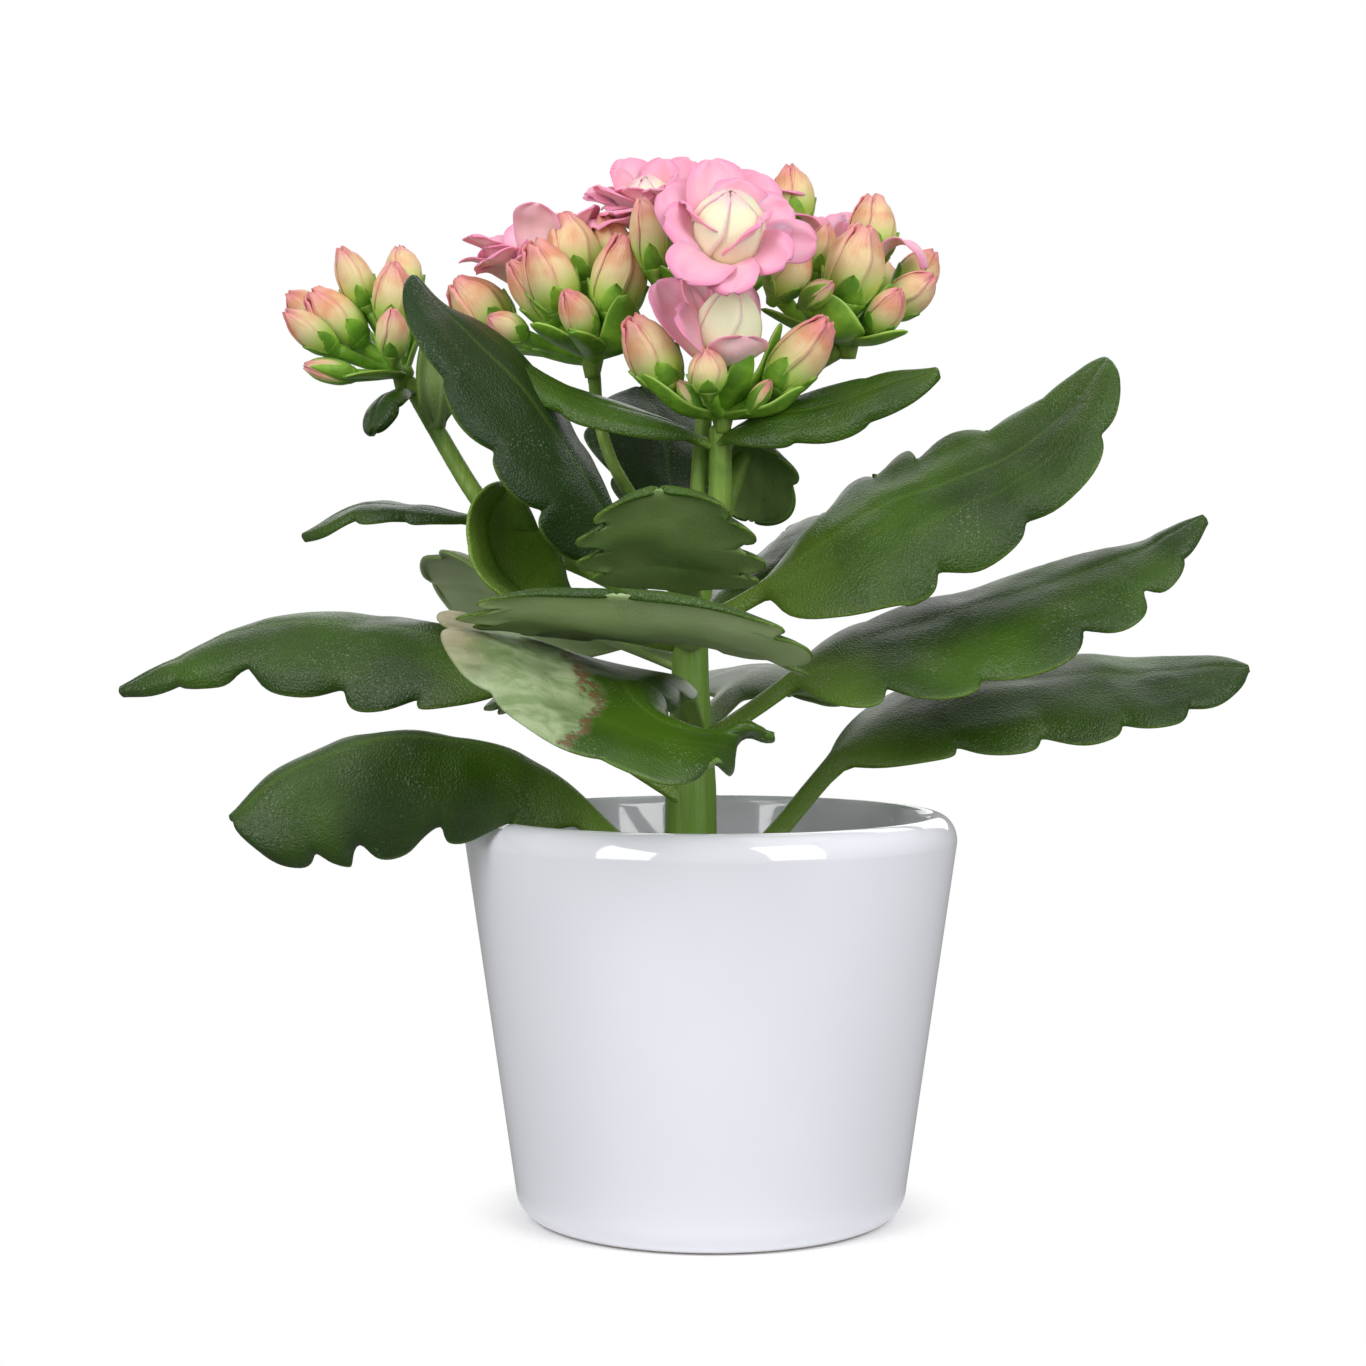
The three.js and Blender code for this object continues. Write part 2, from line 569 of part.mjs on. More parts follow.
// Flower heads: where the stalks of one head part, its buds (foot, tip, radius) and its bracts
const HEADS = {
  head_left: {
    hub: [-50.2, 13, 134.8],
    buds: [
      [[-55.6, 12, 145.2], [-59.5, 9, 153.9], 2.6],
      [[-50, 18, 146.6], [-51.4, 20, 155.4], 2.9],
      [[-51.2, 9.5, 142], [-50.8, 6, 151.2], 3.1],
      [[-51, 5, 136.8], [-50.6, 1.4, 143.5], 2.4],
      [[-57.2, 12, 139.4], [-64.2, 8.4, 146.8], 3.5],
      [[-62.9, 18.4, 142.2], [-69.2, 17.4, 147.8], 2.7],
      [[-60.8, 6.8, 138], [-67.4, 3.2, 143.4], 2.3],
      [[-57.4, 6.6, 133.8], [-64.4, 3.4, 135], 1.8],
    ],
    bracts: [
      { spine: [[-50.2, 12, 134], [-54.5, 6, 133.6], [-58.6, 3, 133.2]], width: 2.6 },
      { spine: [[-49.6, 13.4, 135], [-47.8, 14, 140], [-45.8, 14.5, 145.4]], width: 2.4 },
      { spine: [[-50.4, 13.6, 136], [-55.4, 16, 139], [-58, 18, 143]], width: 2.6 },
    ],
  },
  head_centre_left: {
    hub: [-19.2, 10, 136.6],
    carries: ["bloom_centre_left"],
    buds: [
      [[-33.4, 14.6, 141.4], [-41.4, 12.6, 148.9], 4],
      [[-30, 6, 140], [-35.1, 3, 142.6], 2.2],
      [[-25.2, 9.4, 142.6], [-32, 7.4, 151.4], 2.8],
      [[-23.2, 3, 144], [-28, -1, 153.5], 3.7],
      [[-20.4, 9.5, 148.4], [-24.2, 8, 159], 4],
      [[-19.2, 0.4, 139.6], [-22.7, -4, 145.8], 2.6],
      [[-15.5, 2, 142.6], [-13.8, 0, 154.6], 4],
      [[-15.4, 12, 151], [-17.4, 11, 159.6], 3],
    ],
    bracts: [
      { spine: [[-19, 9, 136.4], [-19, 0, 137.4], [-21.7, -6, 139.6]], width: 2.6 },
      { spine: [[-19.4, 9, 136.8], [-24, -1, 138.4], [-28, -5, 141]], width: 2.6 },
      { spine: [[-18.6, 9, 136.6], [-13.6, 0, 139], [-13.8, -5, 143.4]], width: 2.8 },
      { spine: [[-19.8, 10.6, 136.4], [-26, 14, 137.4], [-33, 17, 138.4]], width: 3 },
    ],
  },
  head_top: {
    hub: [1.4, 5.4, 144.4],
    carries: ["bloom_main", "bloom_top_left"],
    buds: [
      [[-8.9, 0, 149.6], [-10.8, -3, 160], 2.7],
      [[13.5, 10, 158], [12.7, 10, 167.2], 3.1],
      [[6.4, 17, 156], [8, 21, 164.6], 3],
      [[0, 20, 155.4], [-1, 24.6, 163.4], 3],
    ],
    bracts: [
      { spine: [[1, 5, 144.6], [-5, 1, 146.6], [-9, -2, 150.6]], width: 2.6 },
      { spine: [[1.6, 6, 144.6], [4, 12, 148], [7, 18, 152]], width: 2.8 },
    ],
  },
  head_right: {
    hub: [22, 6.8, 139.4],
    carries: ["bloom_right"],
    buds: [
      [[26.1, 12, 152.6], [26.2, 12, 162.6], 3.5],
      [[16.9, 7, 149.6], [18.5, 6, 157.4], 2.2],
      [[10.4, 2, 146.4], [14.1, -2, 152.9], 3.3],
      [[14.6, -2.4, 144.4], [18.6, -5.6, 147], 1.8],
      [[21.4, 2, 144.4], [23.8, -1, 156], 4.2],
      [[28.3, 7, 143.8], [35.1, 4, 149.1], 2.9],
      [[25.8, 2.4, 140.6], [29.4, -2, 146.1], 2.6],
      [[31, 13, 147], [36, 15, 154], 3],
      [[26, 20, 146], [29, 25, 153.4], 3],
    ],
    bracts: [
      { spine: [[22, 6, 138.8], [26, 1, 138.4], [30.8, -2, 140]], width: 2.6 },
      { spine: [[21.8, 6, 139], [19.6, 0, 140.4], [18.4, -2.6, 144.8]], width: 3.6 },
      { spine: [[22.4, 7, 139.4], [26.4, 5, 143.6], [28.8, 3.6, 148]], width: 2.4 },
      { spine: [[21, 7.4, 138.8], [14, 6, 141], [8, 3, 144]], width: 2.6 },
    ],
    petals: [
      {
        spine: [[25.8, 10.6, 150], [28.6, 9, 154.2], [32, 7.6, 154.8], [34.4, 6.4, 150.8]],
        width: 2.6, fold: [-20, -20],
      },
    ],
  },
  head_front: {
    hub: [1.8, -3, 127],
    carries: ["bloom_front"],
    buds: [
      [[-6.4, -8, 131.2], [-12.1, -12, 140.6], 3.6],
      [[-0.4, -12.4, 130], [-0.7, -15, 135.8], 2.7],
      [[10, -6.4, 130.6], [17.5, -10, 140.5], 3.6],
      [[6.2, -8, 127.6], [8.9, -11, 131.4], 1.4],
      [[-2.2, -9, 127.6], [-4.8, -11, 131.4], 1.4],
    ],
    bracts: [
      { spine: [[2, -4, 127.6], [4.4, -9, 131.6], [6, -10.6, 136]], width: 2.6 },
      { spine: [[2.2, -3, 127.4], [8.6, -5, 132.6], [11, -5.4, 141]], width: 2.4 },
      { spine: [[1.6, -3.4, 126.4], [-4.8, -9, 127], [-10.8, -12, 132.6]], width: 3 },
      { spine: [[2.2, -3.4, 126.4], [9.9, -8, 127], [14.4, -10, 130.8]], width: 3 },
    ],
  },
};

// The radius of a bud at a height, as a share of its full radius.
function budShare(height) {
  return height < BUD_FULLEST
    ? (1 - ((BUD_FULLEST - height) / 0.5) ** 2.4) ** 0.6
    : (1 - ((height - BUD_FULLEST) / (1 - BUD_FULLEST)) ** 2.2) ** 0.8;
}

// A ring of points round an axis, from the side given. Height and radius may change from point to point.
// Every ring has as many points as a bud has sides, and where it has fewer corners, points coincide.
function ringRound(foot, axis, side, height, radius, corners = BUD_SIDES) {
  const first = side.clone().addScaledVector(axis, -side.dot(axis)).normalize();
  const second = new THREE.Vector3().crossVectors(axis, first);
  return Array.from({ length: BUD_SIDES }, (_, k) => {
    const angle = (Math.floor((k * corners) / BUD_SIDES) / corners) * 2 * Math.PI;
    return foot
      .clone()
      .addScaledVector(axis, height(k))
      .addScaledVector(first, radius(k) * Math.cos(angle))
      .addScaledVector(second, radius(k) * Math.sin(angle));
  });
}

// The middle of a pedicel, which bends so that it ends along the flower's axis.
function bendBetween(start, end, axis) {
  return start.clone().lerp(end, 0.5).addScaledVector(axis, -PEDICEL_BEND * start.distanceTo(end));
}

// A closed bud in its four-pointed calyx, on a bent pedicel from the hub.
function bud(hub, [footPoint, tipPoint, radius], grow) {
  const start = vector(hub);
  const foot = vector(footPoint);
  const axis = vector(tipPoint).sub(foot);
  const length = axis.length();
  axis.normalize();
  const [side] = across(axis);
  const bend = bendBetween(start, foot, axis);
  const neck = (place, direction) =>
    ringRound(place, direction.normalize(), side, () => 0, () => PEDICEL_RADIUS + grow, 4);
  const rim = (k) => (k % 2 ? SEPAL_GAP : SEPAL_TIP);
  const ring = (height, standoff) =>
    ringRound(
      foot,
      axis,
      side,
      (k) => height(k) * length,
      (k) => budShare(height(k)) * radius + grow + standoff,
    );
  const rings = [
    neck(start, bend.clone().sub(start)),
    neck(bend, foot.clone().sub(start)),
    ring(() => 0, SEPAL_STANDOFF),
    ring(rim, SEPAL_STANDOFF),
    ring((k) => rim(k) + 0.015, 0),
    ...BUD_BODY.map((height) => ring(() => height, 0)),
  ];
  return loft(rings, start, foot.clone().addScaledVector(axis, length + grow));
}

// One flower head with its buds, bracts and single petals, made larger all over by grow.
function head({ hub, buds, bracts, carries = [], petals = [] }, grow) {
  const node = stalk(
    [[hub[0], hub[1], hub[2] - 1.6], [hub[0], hub[1], hub[2] + 1.6]],
    [1.7, 1.5],
    { sides: 6, steps: 1, grow },
  );
  const bearers = carries.map((name) => {
    const { foot, axis } = BLOOMS[name];
    const seat = vector(foot).addScaledVector(vector(axis).normalize(), BLOOM_SEAT);
    const bend = bendBetween(vector(hub), seat, vector(axis));
    return stalk(
      [hub, bend.toArray(), seat.toArray()],
      [PEDICEL_RADIUS, PEDICEL_RADIUS],
      { sides: 4, steps: 2, grow },
    );
  });
  const leafy = bracts.map((bract) =>
    blade({
      petioleWidth: 1.2, profile: [0.5, 0.6], fold: [-18, -18], columns: 2, steps: 2,
      thickness: 0.8 + 2 * grow, root: 1.2 + 2 * grow, edge: EDGE + 2 * grow, ...bract,
    }),
  );
  const open = petals.map((petal) => petalBlade(petal, grow));
  return union([node, ...bearers, ...buds.map((one) => bud(hub, one, grow)), ...leafy, ...open]);
}

const petalBlade = (shape, grow = 0) =>
  blade({
    petioleWidth: 1, tipWidth: PETAL_TIP_WIDTH, profile: [0.8, 0.3], fold: [-14, -14],
    columns: 2, steps: 3,
    thickness: PETAL_THICKNESS + 2 * grow, root: 1 + 2 * grow, edge: 0.6 + 2 * grow, ...shape,
  });

// Open blooms. The axis points out of the flower. Petals: azimuth round the axis from its upper side,
// length, half width, angle from the axis at the root, and how much that angle grows to the tip.
const BLOOMS = {
  bloom_main: {
    foot: [2.3, -7, 150.6], axis: [0.06, -0.62, 0.78],
    centre: { length: 11.5, radius: 5.2 },
    petals: [
      [10, 15, 5.2, 28, 30], [-105, 14.5, 5, 40, 40], [108, 14, 5, 38, 50],
      [-48, 15, 5.2, 46, 50], [60, 15, 5.2, 46, 40], [156, 15, 5, 62, 45], [-158, 12, 4.8, 56, 50],
    ],
  },
  bloom_top_left: {
    foot: [-9.6, 17, 158.4], axis: [-0.1, -0.3, 0.95],
    centre: { length: 8.6, radius: 4 },
    petals: [
      ...ringOfPetals(5, 10.4, 3.8, 52, 55, 0),
      ...ringOfPetals(4, 11, 3.2, 26, 20, 36),
    ],
  },
  bloom_front: {
    foot: [1.9, -7.4, 134.4], axis: [0.12, -0.2, 0.97],
    centre: { length: 11.6, radius: 4.6 },
    petals: [
      [95, 10.5, 4.4, 30, 30], [-25, 12, 4.4, 25, 25], [-75, 12, 2.4, 30, 120], [180, 8.6, 5.4, 35, 25],
    ],
  },
  bloom_right: {
    foot: [18, 20, 152.6], axis: [-0.05, -0.35, 0.93],
    centre: { length: 6.4, radius: 3.2 },
    petals: ringOfPetals(6, 9.6, 3.3, 34, 50, 20),
  },
  bloom_centre_left: {
    foot: [-28.6, 18, 149.4], axis: [-0.35, 0.05, 0.93],
    centre: { length: 7, radius: 3.4 },
    petals: ringOfPetals(6, 11.6, 3.8, 34, 50, 15),
  },
};

// Petals of one whorl, evenly spaced round the axis from the turn given.
function ringOfPetals(count, length, width, open, curl, turn) {
  return Array.from({ length: count }, (_, i) => [turn + (360 * i) / count, length, width, open, curl]);
}

function bloom({ foot, axis, centre, petals }) {
  const root = vector(foot);
  const out = vector(axis).normalize();
  const high = UP.clone().addScaledVector(out, -UP.dot(out)).normalize();
  const parts = petals.map(([azimuth, length, width, open, curl]) => {
    const radial = high.clone().applyAxisAngle(out, azimuth * DEGREES);
    const links = 4;
    const place = root.clone().addScaledVector(radial, PETAL_ROOT_RADIUS);
    const spine = [place.toArray()];
    for (let i = 0; i < links; i++) {
      const angle = (open + (curl * (i + 0.5)) / links) * DEGREES;
      place.addScaledVector(out, (Math.cos(angle) * length) / links);
      place.addScaledVector(radial, (Math.sin(angle) * length) / links);
      spine.push(place.toArray());
    }
    return petalBlade({ spine, width, up: out, out: radial, roll: PETAL_TWIST });
  });
  return union([heart(root, out, centre), ...parts]);
}

// The closed heart of a bloom, shaped as a bud without calyx or pedicel.
function heart(root, out, { length, radius }) {
  const [side] = across(out);
  const rings = [0.1, BUD_FULLEST, ...BUD_BODY].map((height) =>
    ringRound(root, out, side, () => height * length, () => budShare(height) * radius),
  );
  return loft(rings, root, root.clone().addScaledVector(out, length));
}

const plant = new THREE.Group();

// Adds a solid to the plant as a named mesh.
function add(name, shape, material) {
  const made = largest(shape).getMesh();
  const geometry = new THREE.BufferGeometry();
  geometry.setAttribute("position", new THREE.BufferAttribute(made.vertProperties, 3));
  geometry.setIndex(new THREE.BufferAttribute(made.triVerts, 1));
  geometry.computeVertexNormals();
  const mesh = new THREE.Mesh(geometry, material);
  mesh.name = name;
  plant.add(mesh);
}

const stemSpace = stem(CLEARANCE);
const headSpaces = Object.values(HEADS).map((one) => head(one, CLEARANCE));
const grownSpace = union([stemSpace, ...headSpaces]);

add("cachepot", coverPot(), MATERIALS.glaze);
add("nursery_pot", nurseryPot(), MATERIALS.plastic);
add("soil", soil(stemSpace), MATERIALS.soil);
add("stem", stem(0), MATERIALS.stem);
for (const [name, shape] of Object.entries(LEAVES)) {
  add(name, blade(shape).subtract(stemSpace), MATERIALS.leaf);
}
for (const [name, shape] of Object.entries(HEADS)) {
  add(name, head(shape, 0).subtract(stemSpace), MATERIALS.bud);
}
for (const [name, shape] of Object.entries(BLOOMS)) {
  add(name, bloom(shape).subtract(grownSpace), MATERIALS.petal);
}

export default plant;
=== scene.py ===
"""Potted kalanchoe: the finished look of a small double-flowered plant in its glazed cover pot.

The pieces follow the solids of the frame: the pots' outer sizes are read from it, and the spines
of the plant are listed below. Lengths are millimetres, apart from the stage's, and each piece is
written to its mesh in metres.
"""

import math
import random

import bpy
from mathutils import Matrix, Quaternion, Vector, noise


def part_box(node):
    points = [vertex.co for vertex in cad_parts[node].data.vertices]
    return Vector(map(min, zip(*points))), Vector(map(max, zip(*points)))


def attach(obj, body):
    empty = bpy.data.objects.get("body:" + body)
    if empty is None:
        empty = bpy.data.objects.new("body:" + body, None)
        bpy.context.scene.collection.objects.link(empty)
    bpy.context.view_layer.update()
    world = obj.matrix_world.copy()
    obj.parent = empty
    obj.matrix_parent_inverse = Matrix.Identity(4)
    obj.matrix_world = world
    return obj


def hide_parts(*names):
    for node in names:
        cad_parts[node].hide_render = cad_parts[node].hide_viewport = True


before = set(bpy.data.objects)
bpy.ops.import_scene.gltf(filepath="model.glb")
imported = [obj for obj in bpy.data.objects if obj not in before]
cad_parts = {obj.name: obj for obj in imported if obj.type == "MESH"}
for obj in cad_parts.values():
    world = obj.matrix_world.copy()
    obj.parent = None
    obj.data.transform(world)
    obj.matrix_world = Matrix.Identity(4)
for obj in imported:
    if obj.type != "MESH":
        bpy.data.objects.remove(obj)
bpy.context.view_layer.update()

bl_info = {
    "name": "Potted Kalanchoe",
    "version": (1, 0, 0),
    "blender": (4, 5, 0),
    "location": "3D Viewport > Sidebar > Kalanchoe",
    "description": "Builds a flowering potted kalanchoe round its solid frame",
    "category": "Add Mesh",
}

MM = 0.001
UP = Vector((0, 0, 1))
WELD_DISTANCE = 0.002
SMOOTH_ANGLE = math.radians(40)
POT_SEGMENTS = 96


def node_size(node, axis, end):
    """One side of a solid's box, in millimetres: end 0 is the low side and 1 the high one."""
    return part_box(node)[end]["xyz".index(axis)] / MM


def screen(code):
    """A colour written as six hex digits, as the linear values that Blender mixes."""
    parts = [int(code[i:i + 2], 16) / 255 for i in (0, 2, 4)]
    return tuple(c / 12.92 if c <= 0.04045 else ((c + 0.055) / 1.055) ** 2.4 for c in parts)


def tint(code, label, description):
    """A colour property with its default."""
    return bpy.props.FloatVectorProperty(
        name=label, description=description, subtype="COLOR", size=3, min=0, max=1, default=screen(code))


def length(value, label, description):
    """A length property, in millimetres, with its default."""
    return bpy.props.FloatProperty(name=label, description=description, default=value, min=0.01)


# The plant, in millimetres. Every spine is a list of points from the root out.

# Limbs of the stem: their points and the radius at each point

STEM_LIMBS = [
    ([[-3, 0.5, 37], [-3.2, 0.2, 52], [-3.2, 0, 68], [-3.3, 0, 84], [-3.2, 0, 98]],
     [4.4, 4.3, 4.1, 3.1, 2.6]),
    ([[-3, -0.2, 95], [-1, -0.8, 103], [1.2, -1.2, 112], [1.5, -2, 125.4]],
     [2.4, 2, 1.9, 1.9]),
    ([[-3.4, 0.2, 95], [-2.4, 0.6, 104], [-1.9, 1.2, 118], [-0.6, 3, 131], [1.2, 5, 143]],
     [2.2, 1.6, 1.4, 1.4, 1.4]),
    ([[-3.6, 0.8, 95], [-9, 5, 108], [-15.5, 9.5, 119], [-18.2, 12, 127], [-19, 10.5, 135]],
     [1.8, 1.3, 1.1, 1.1, 1.2]),
    ([[-3.6, 0.4, 93], [-15, 4.5, 100.5], [-28, 8.5, 106.5], [-36.5, 11, 112.5], [-45.4, 13, 126.5],
      [-49.4, 13, 133.6]],
     [1.9, 1.7, 1.6, 1.6, 1.5, 1.4]),
    ([[-2.6, 0.8, 96], [1, 5, 108], [5, 9, 120], [10, 10.5, 129], [15.4, 9.4, 134.6], [20.8, 7.3, 138]],
     [1.9, 1.5, 1.4, 1.4, 1.4, 1.4]),
]

# Leaves: half widths left and right of the spine, and how far each half folds down, in degrees.
# A notch is its place along one margin, or its place and depth.

SMALL_LEAF = {"petiole_width": 1.4, "root": 1.8}
LEAVES = {
    "far_left": dict(
        spine=[[-3.2, -1, 66], [-17.5, -5, 76], [-30, -4, 85.6], [-43, 0, 91.2], [-59, 3, 94],
               [-77.5, 6, 91.8], [-95.6, 8, 82.8]],
        width=[16, 13], roll=[-5, -24, -18], fold=[25, 20], petiole=0.33, profile=[0.5, 0.8],
        notches=[[0.22, 0.46, [0.7, 0.42], 0.88], [0.2, 0.45, 0.7, 0.86]]),
    "low_left": dict(
        spine=[[-3.2, -1, 53.8], [-10, -4.4, 56.4], [-17, -8, 62.6], [-24, -12, 70], [-34, -17, 75.8],
               [-47, -22, 77.6], [-61, -26, 73.4], [-71.5, -28, 65.4]],
        width=[18.5, 14], roll=[-10, -38, -30], fold=[[-22, 28, 34], 60], petiole=0.34,
        petiole_width=4.2, tip_width=2.4, profile=[0.6, 0.32],
        notches=[[0.22, 0.46, 0.74, 0.9], [0.26, 0.5, 0.7, 0.86]]),
    "front_low": dict(
        spine=[[-3.2, -2, 78], [-5, -16, 84.4], [-9, -29, 86.6], [-12, -40, 86.4], [-9.5, -49, 83],
               [-1, -53, 80.2], [9, -51, 79.6]],
        width=[8, 30], roll=[0, -4, 0], fold=[[20, 30, 40], [-10, -14, 16]], petiole=0.2,
        profile=[0.42, 0.95],
        notches=[[0.2, 0.36, 0.52, 0.7, 0.86],
                 [0.22, [0.38, 0.1], [0.54, 0.12], [0.68, 0.12], [0.82, 0.5]]]),
    "front_high": dict(
        spine=[[-3.2, -2, 91], [-6, -18, 92.4], [-9, -33, 92.8], [-11, -47, 94], [-13, -55, 99.2]],
        width=[28, 26], roll=[0, -6, -7], fold=2, petiole=0.2, profile=[1.2, 0.34],
        notches=[[0.3, 0.5, 0.68, 0.84], [0.3, 0.5, 0.68, [0.86, 0.3]]]),
    "front_fan": dict(
        spine=[[-3.2, -2, 97], [-4, -13, 99.6], [-5.2, -23, 104], [-6.4, -30, 109.6],
               [-7.6, -35, 114.4]],
        width=[14.5, 15], fold=6, petiole=0.3, profile=[0.32, 0.42],
        notches=[[[0.22, 0.3], [0.45, 0.36], 0.72], [0.25, [0.48, 0.36], [0.72, 0.32]]], depth=0.26),
    "tall_left": dict(
        spine=[[-4, 0, 99], [-10, -2.4, 103.6], [-16, -6, 109.4], [-21, -10, 118], [-28, -14, 128],
               [-37, -15, 138.4], [-45.8, -13, 147.6]],
        width=[15, 15], roll=[-20, -55, -40], fold=[[-6, -3, 8], [46, 24, 34]], petiole=0.2,
        profile=[0.5, 0.6], notches=[[0.18, 0.38, 0.56, 0.74]] * 2),
    "cupped_left": dict(
        spine=[[-3.6, 0.8, 90.4], [-14, -2, 92.6], [-25, -5, 95.6], [-33, -5, 102], [-35.6, -5, 109.5],
               [-32.6, -5, 116]],
        width=[10, 13], roll=[-10, -50, -60], fold=[-40, -14], petiole=0.3, profile=[0.6, 0.5],
        notches=[[0.3, 0.6]] * 2, depth=0.08),
    "tall_right": dict(
        spine=[[-2.6, 0.4, 93.4], [7, -4.4, 98.6], [17.5, -8, 106], [26, -10, 111.6], [34, -12, 114.8],
               [48.8, -13, 121.6], [60.6, -13, 135]],
        width=[14.5, 19], roll=[10, 38, 30], fold=[[8, 2, -8], 14], petiole=0.2, profile=[0.36, 0.5],
        notches=[[0.2, [0.38, 0.3], [0.56, 0.34], [0.74, 0.3], 0.88],
                 [[0.2, 0], [0.36, 0], 0.54, 0.72, 0.88]]),
    "middle_right": dict(
        spine=[[-3, -1, 74], [7.7, -4, 81.4], [18.6, -6, 89], [34, -7, 94.4], [53, -7, 100],
               [65.5, -6, 105], [77, -5, 111.2]],
        width=[12, 19], roll=[5, 28, 26], fold=[8, 10], petiole=0.26, profile=[0.45, 0.85],
        notches=[[0.2, 0.38, 0.56, 0.74, 0.88], [[0.2, 0.3], 0.38, [0.56, 0.32], [0.74, 0.3], 0.88]]),
    "low_right": dict(
        spine=[[-3, 0, 52.5], [5, 1, 56], [11.5, 2, 62], [21, 5, 73], [35.5, 8, 81.8], [55, 10, 85.2],
               [71.5, 11, 86.4], [87.6, 12, 87.6]],
        width=[13, 17], roll=[0, 15, 15], fold=[2, 20], petiole=0.42, profile=[0.5, 0.6],
        notches=[[0.25, 0.45, 0.65, 0.82]] * 2),
    "spray_right": dict(
        spine=[[0.6, -1.6, 122], [5, -5, 124.6], [14, -8, 126.6], [24.5, -11, 129], [34.8, -13, 133]],
        width=6.5, roll=[0, 40, 30], fold=10, petiole=0.12, profile=[0.7, 0.6], notches=[[0.4, 0.7]] * 2,
        **SMALL_LEAF),
    "spray_left": dict(
        spine=[[0.4, -1.6, 122], [-8, -6, 125.4], [-17, -8, 128.6], [-25, -9, 132], [-32, -9, 136.4]],
        width=6.5, roll=[0, -30, -20], fold=12, petiole=0.12, profile=[0.7, 0.6], notches=[[0.6]] * 2,
        **SMALL_LEAF),
    "spray_back": dict(
        spine=[[1.4, -1, 121], [3.4, 4.6, 123.4], [6, 10, 122], [7.4, 14, 116.6], [6.6, 17, 110.6]],
        width=9, fold=14, petiole=0.15, notches=[[0.35, 0.65]] * 2, **SMALL_LEAF),
    "narrow_left": dict(
        spine=[[-33, 10, 110], [-40, 10, 110.8], [-49, 10.6, 112.4], [-58, 12, 112.8], [-67, 13, 108.6]],
        width=6.5, roll=[0, -8, -14], fold=8, petiole=0.2, profile=[0.7, 0.6],
        notches=[[0.35, 0.65]] * 2, **SMALL_LEAF),
    "back_left": dict(
        spine=[[-3.6, 1, 87], [-14, 8, 91], [-26, 15, 95.4], [-37, 22, 99.4], [-47, 27, 101.4]],
        width=15, roll=[0, 30, 35], fold=8, petiole=0.25, notches=[[0.3, 0.55, 0.78]] * 2),
    "back_right": dict(
        spine=[[-2.8, 1, 92], [2, 9, 98], [6.6, 17, 103], [10.6, 25, 107], [13, 32, 109]],
        width=13, roll=[0, -25, -30], fold=8, petiole=0.25, notches=[[0.3, 0.55, 0.78]] * 2),
    "back_low": dict(
        spine=[[-2.6, 1.4, 77], [3, 14, 82], [8, 28, 86], [12, 42, 86], [14, 54, 81]],
        width=17, fold=12, petiole=0.25, notches=[[0.28, 0.5, 0.7, 0.86]] * 2),
    "back_wide": dict(
        spine=[[-3.6, 1.6, 74], [-11, 14, 79.6], [-19, 28, 84], [-26, 41, 84.6], [-31, 52, 80]],
        width=16, fold=14, petiole=0.25, notches=[[0.28, 0.5, 0.7, 0.86]] * 2),
    "back_tall": dict(
        spine=[[-3.4, 1.4, 101], [-5, 10, 109], [-7, 18, 119], [-9, 25, 128], [-12, 30, 134]],
        width=13.5, roll=[0, 10, 10], fold=10, petiole=0.2, notches=[[0.35, 0.65]] * 2),
    "stalk_upper": dict(
        spine=[[-44.6, 12.6, 125.6], [-43.6, 8.6, 128.4], [-42.8, 6.2, 133], [-42, 5.4, 138.4],
               [-41, 6, 142.6]],
        width=4.6, fold=-15, petiole=0.15, profile=[0.6, 0.5], **SMALL_LEAF),
    "stalk_lower": dict(
        spine=[[-47.8, 13, 131], [-51, 9.4, 131.4], [-53.6, 5, 129], [-54.8, 2.5, 125]],
        width=5, roll=[0, 10, 10], fold=10, petiole=0.15, petiole_width=1.2, notches=[[0.6]] * 2,
        root=1.4),
}

# Flower heads: a bud is its foot, tip and radius, and a bract its half width and then its spine.
# The petals belong to flowers that open behind the buds.

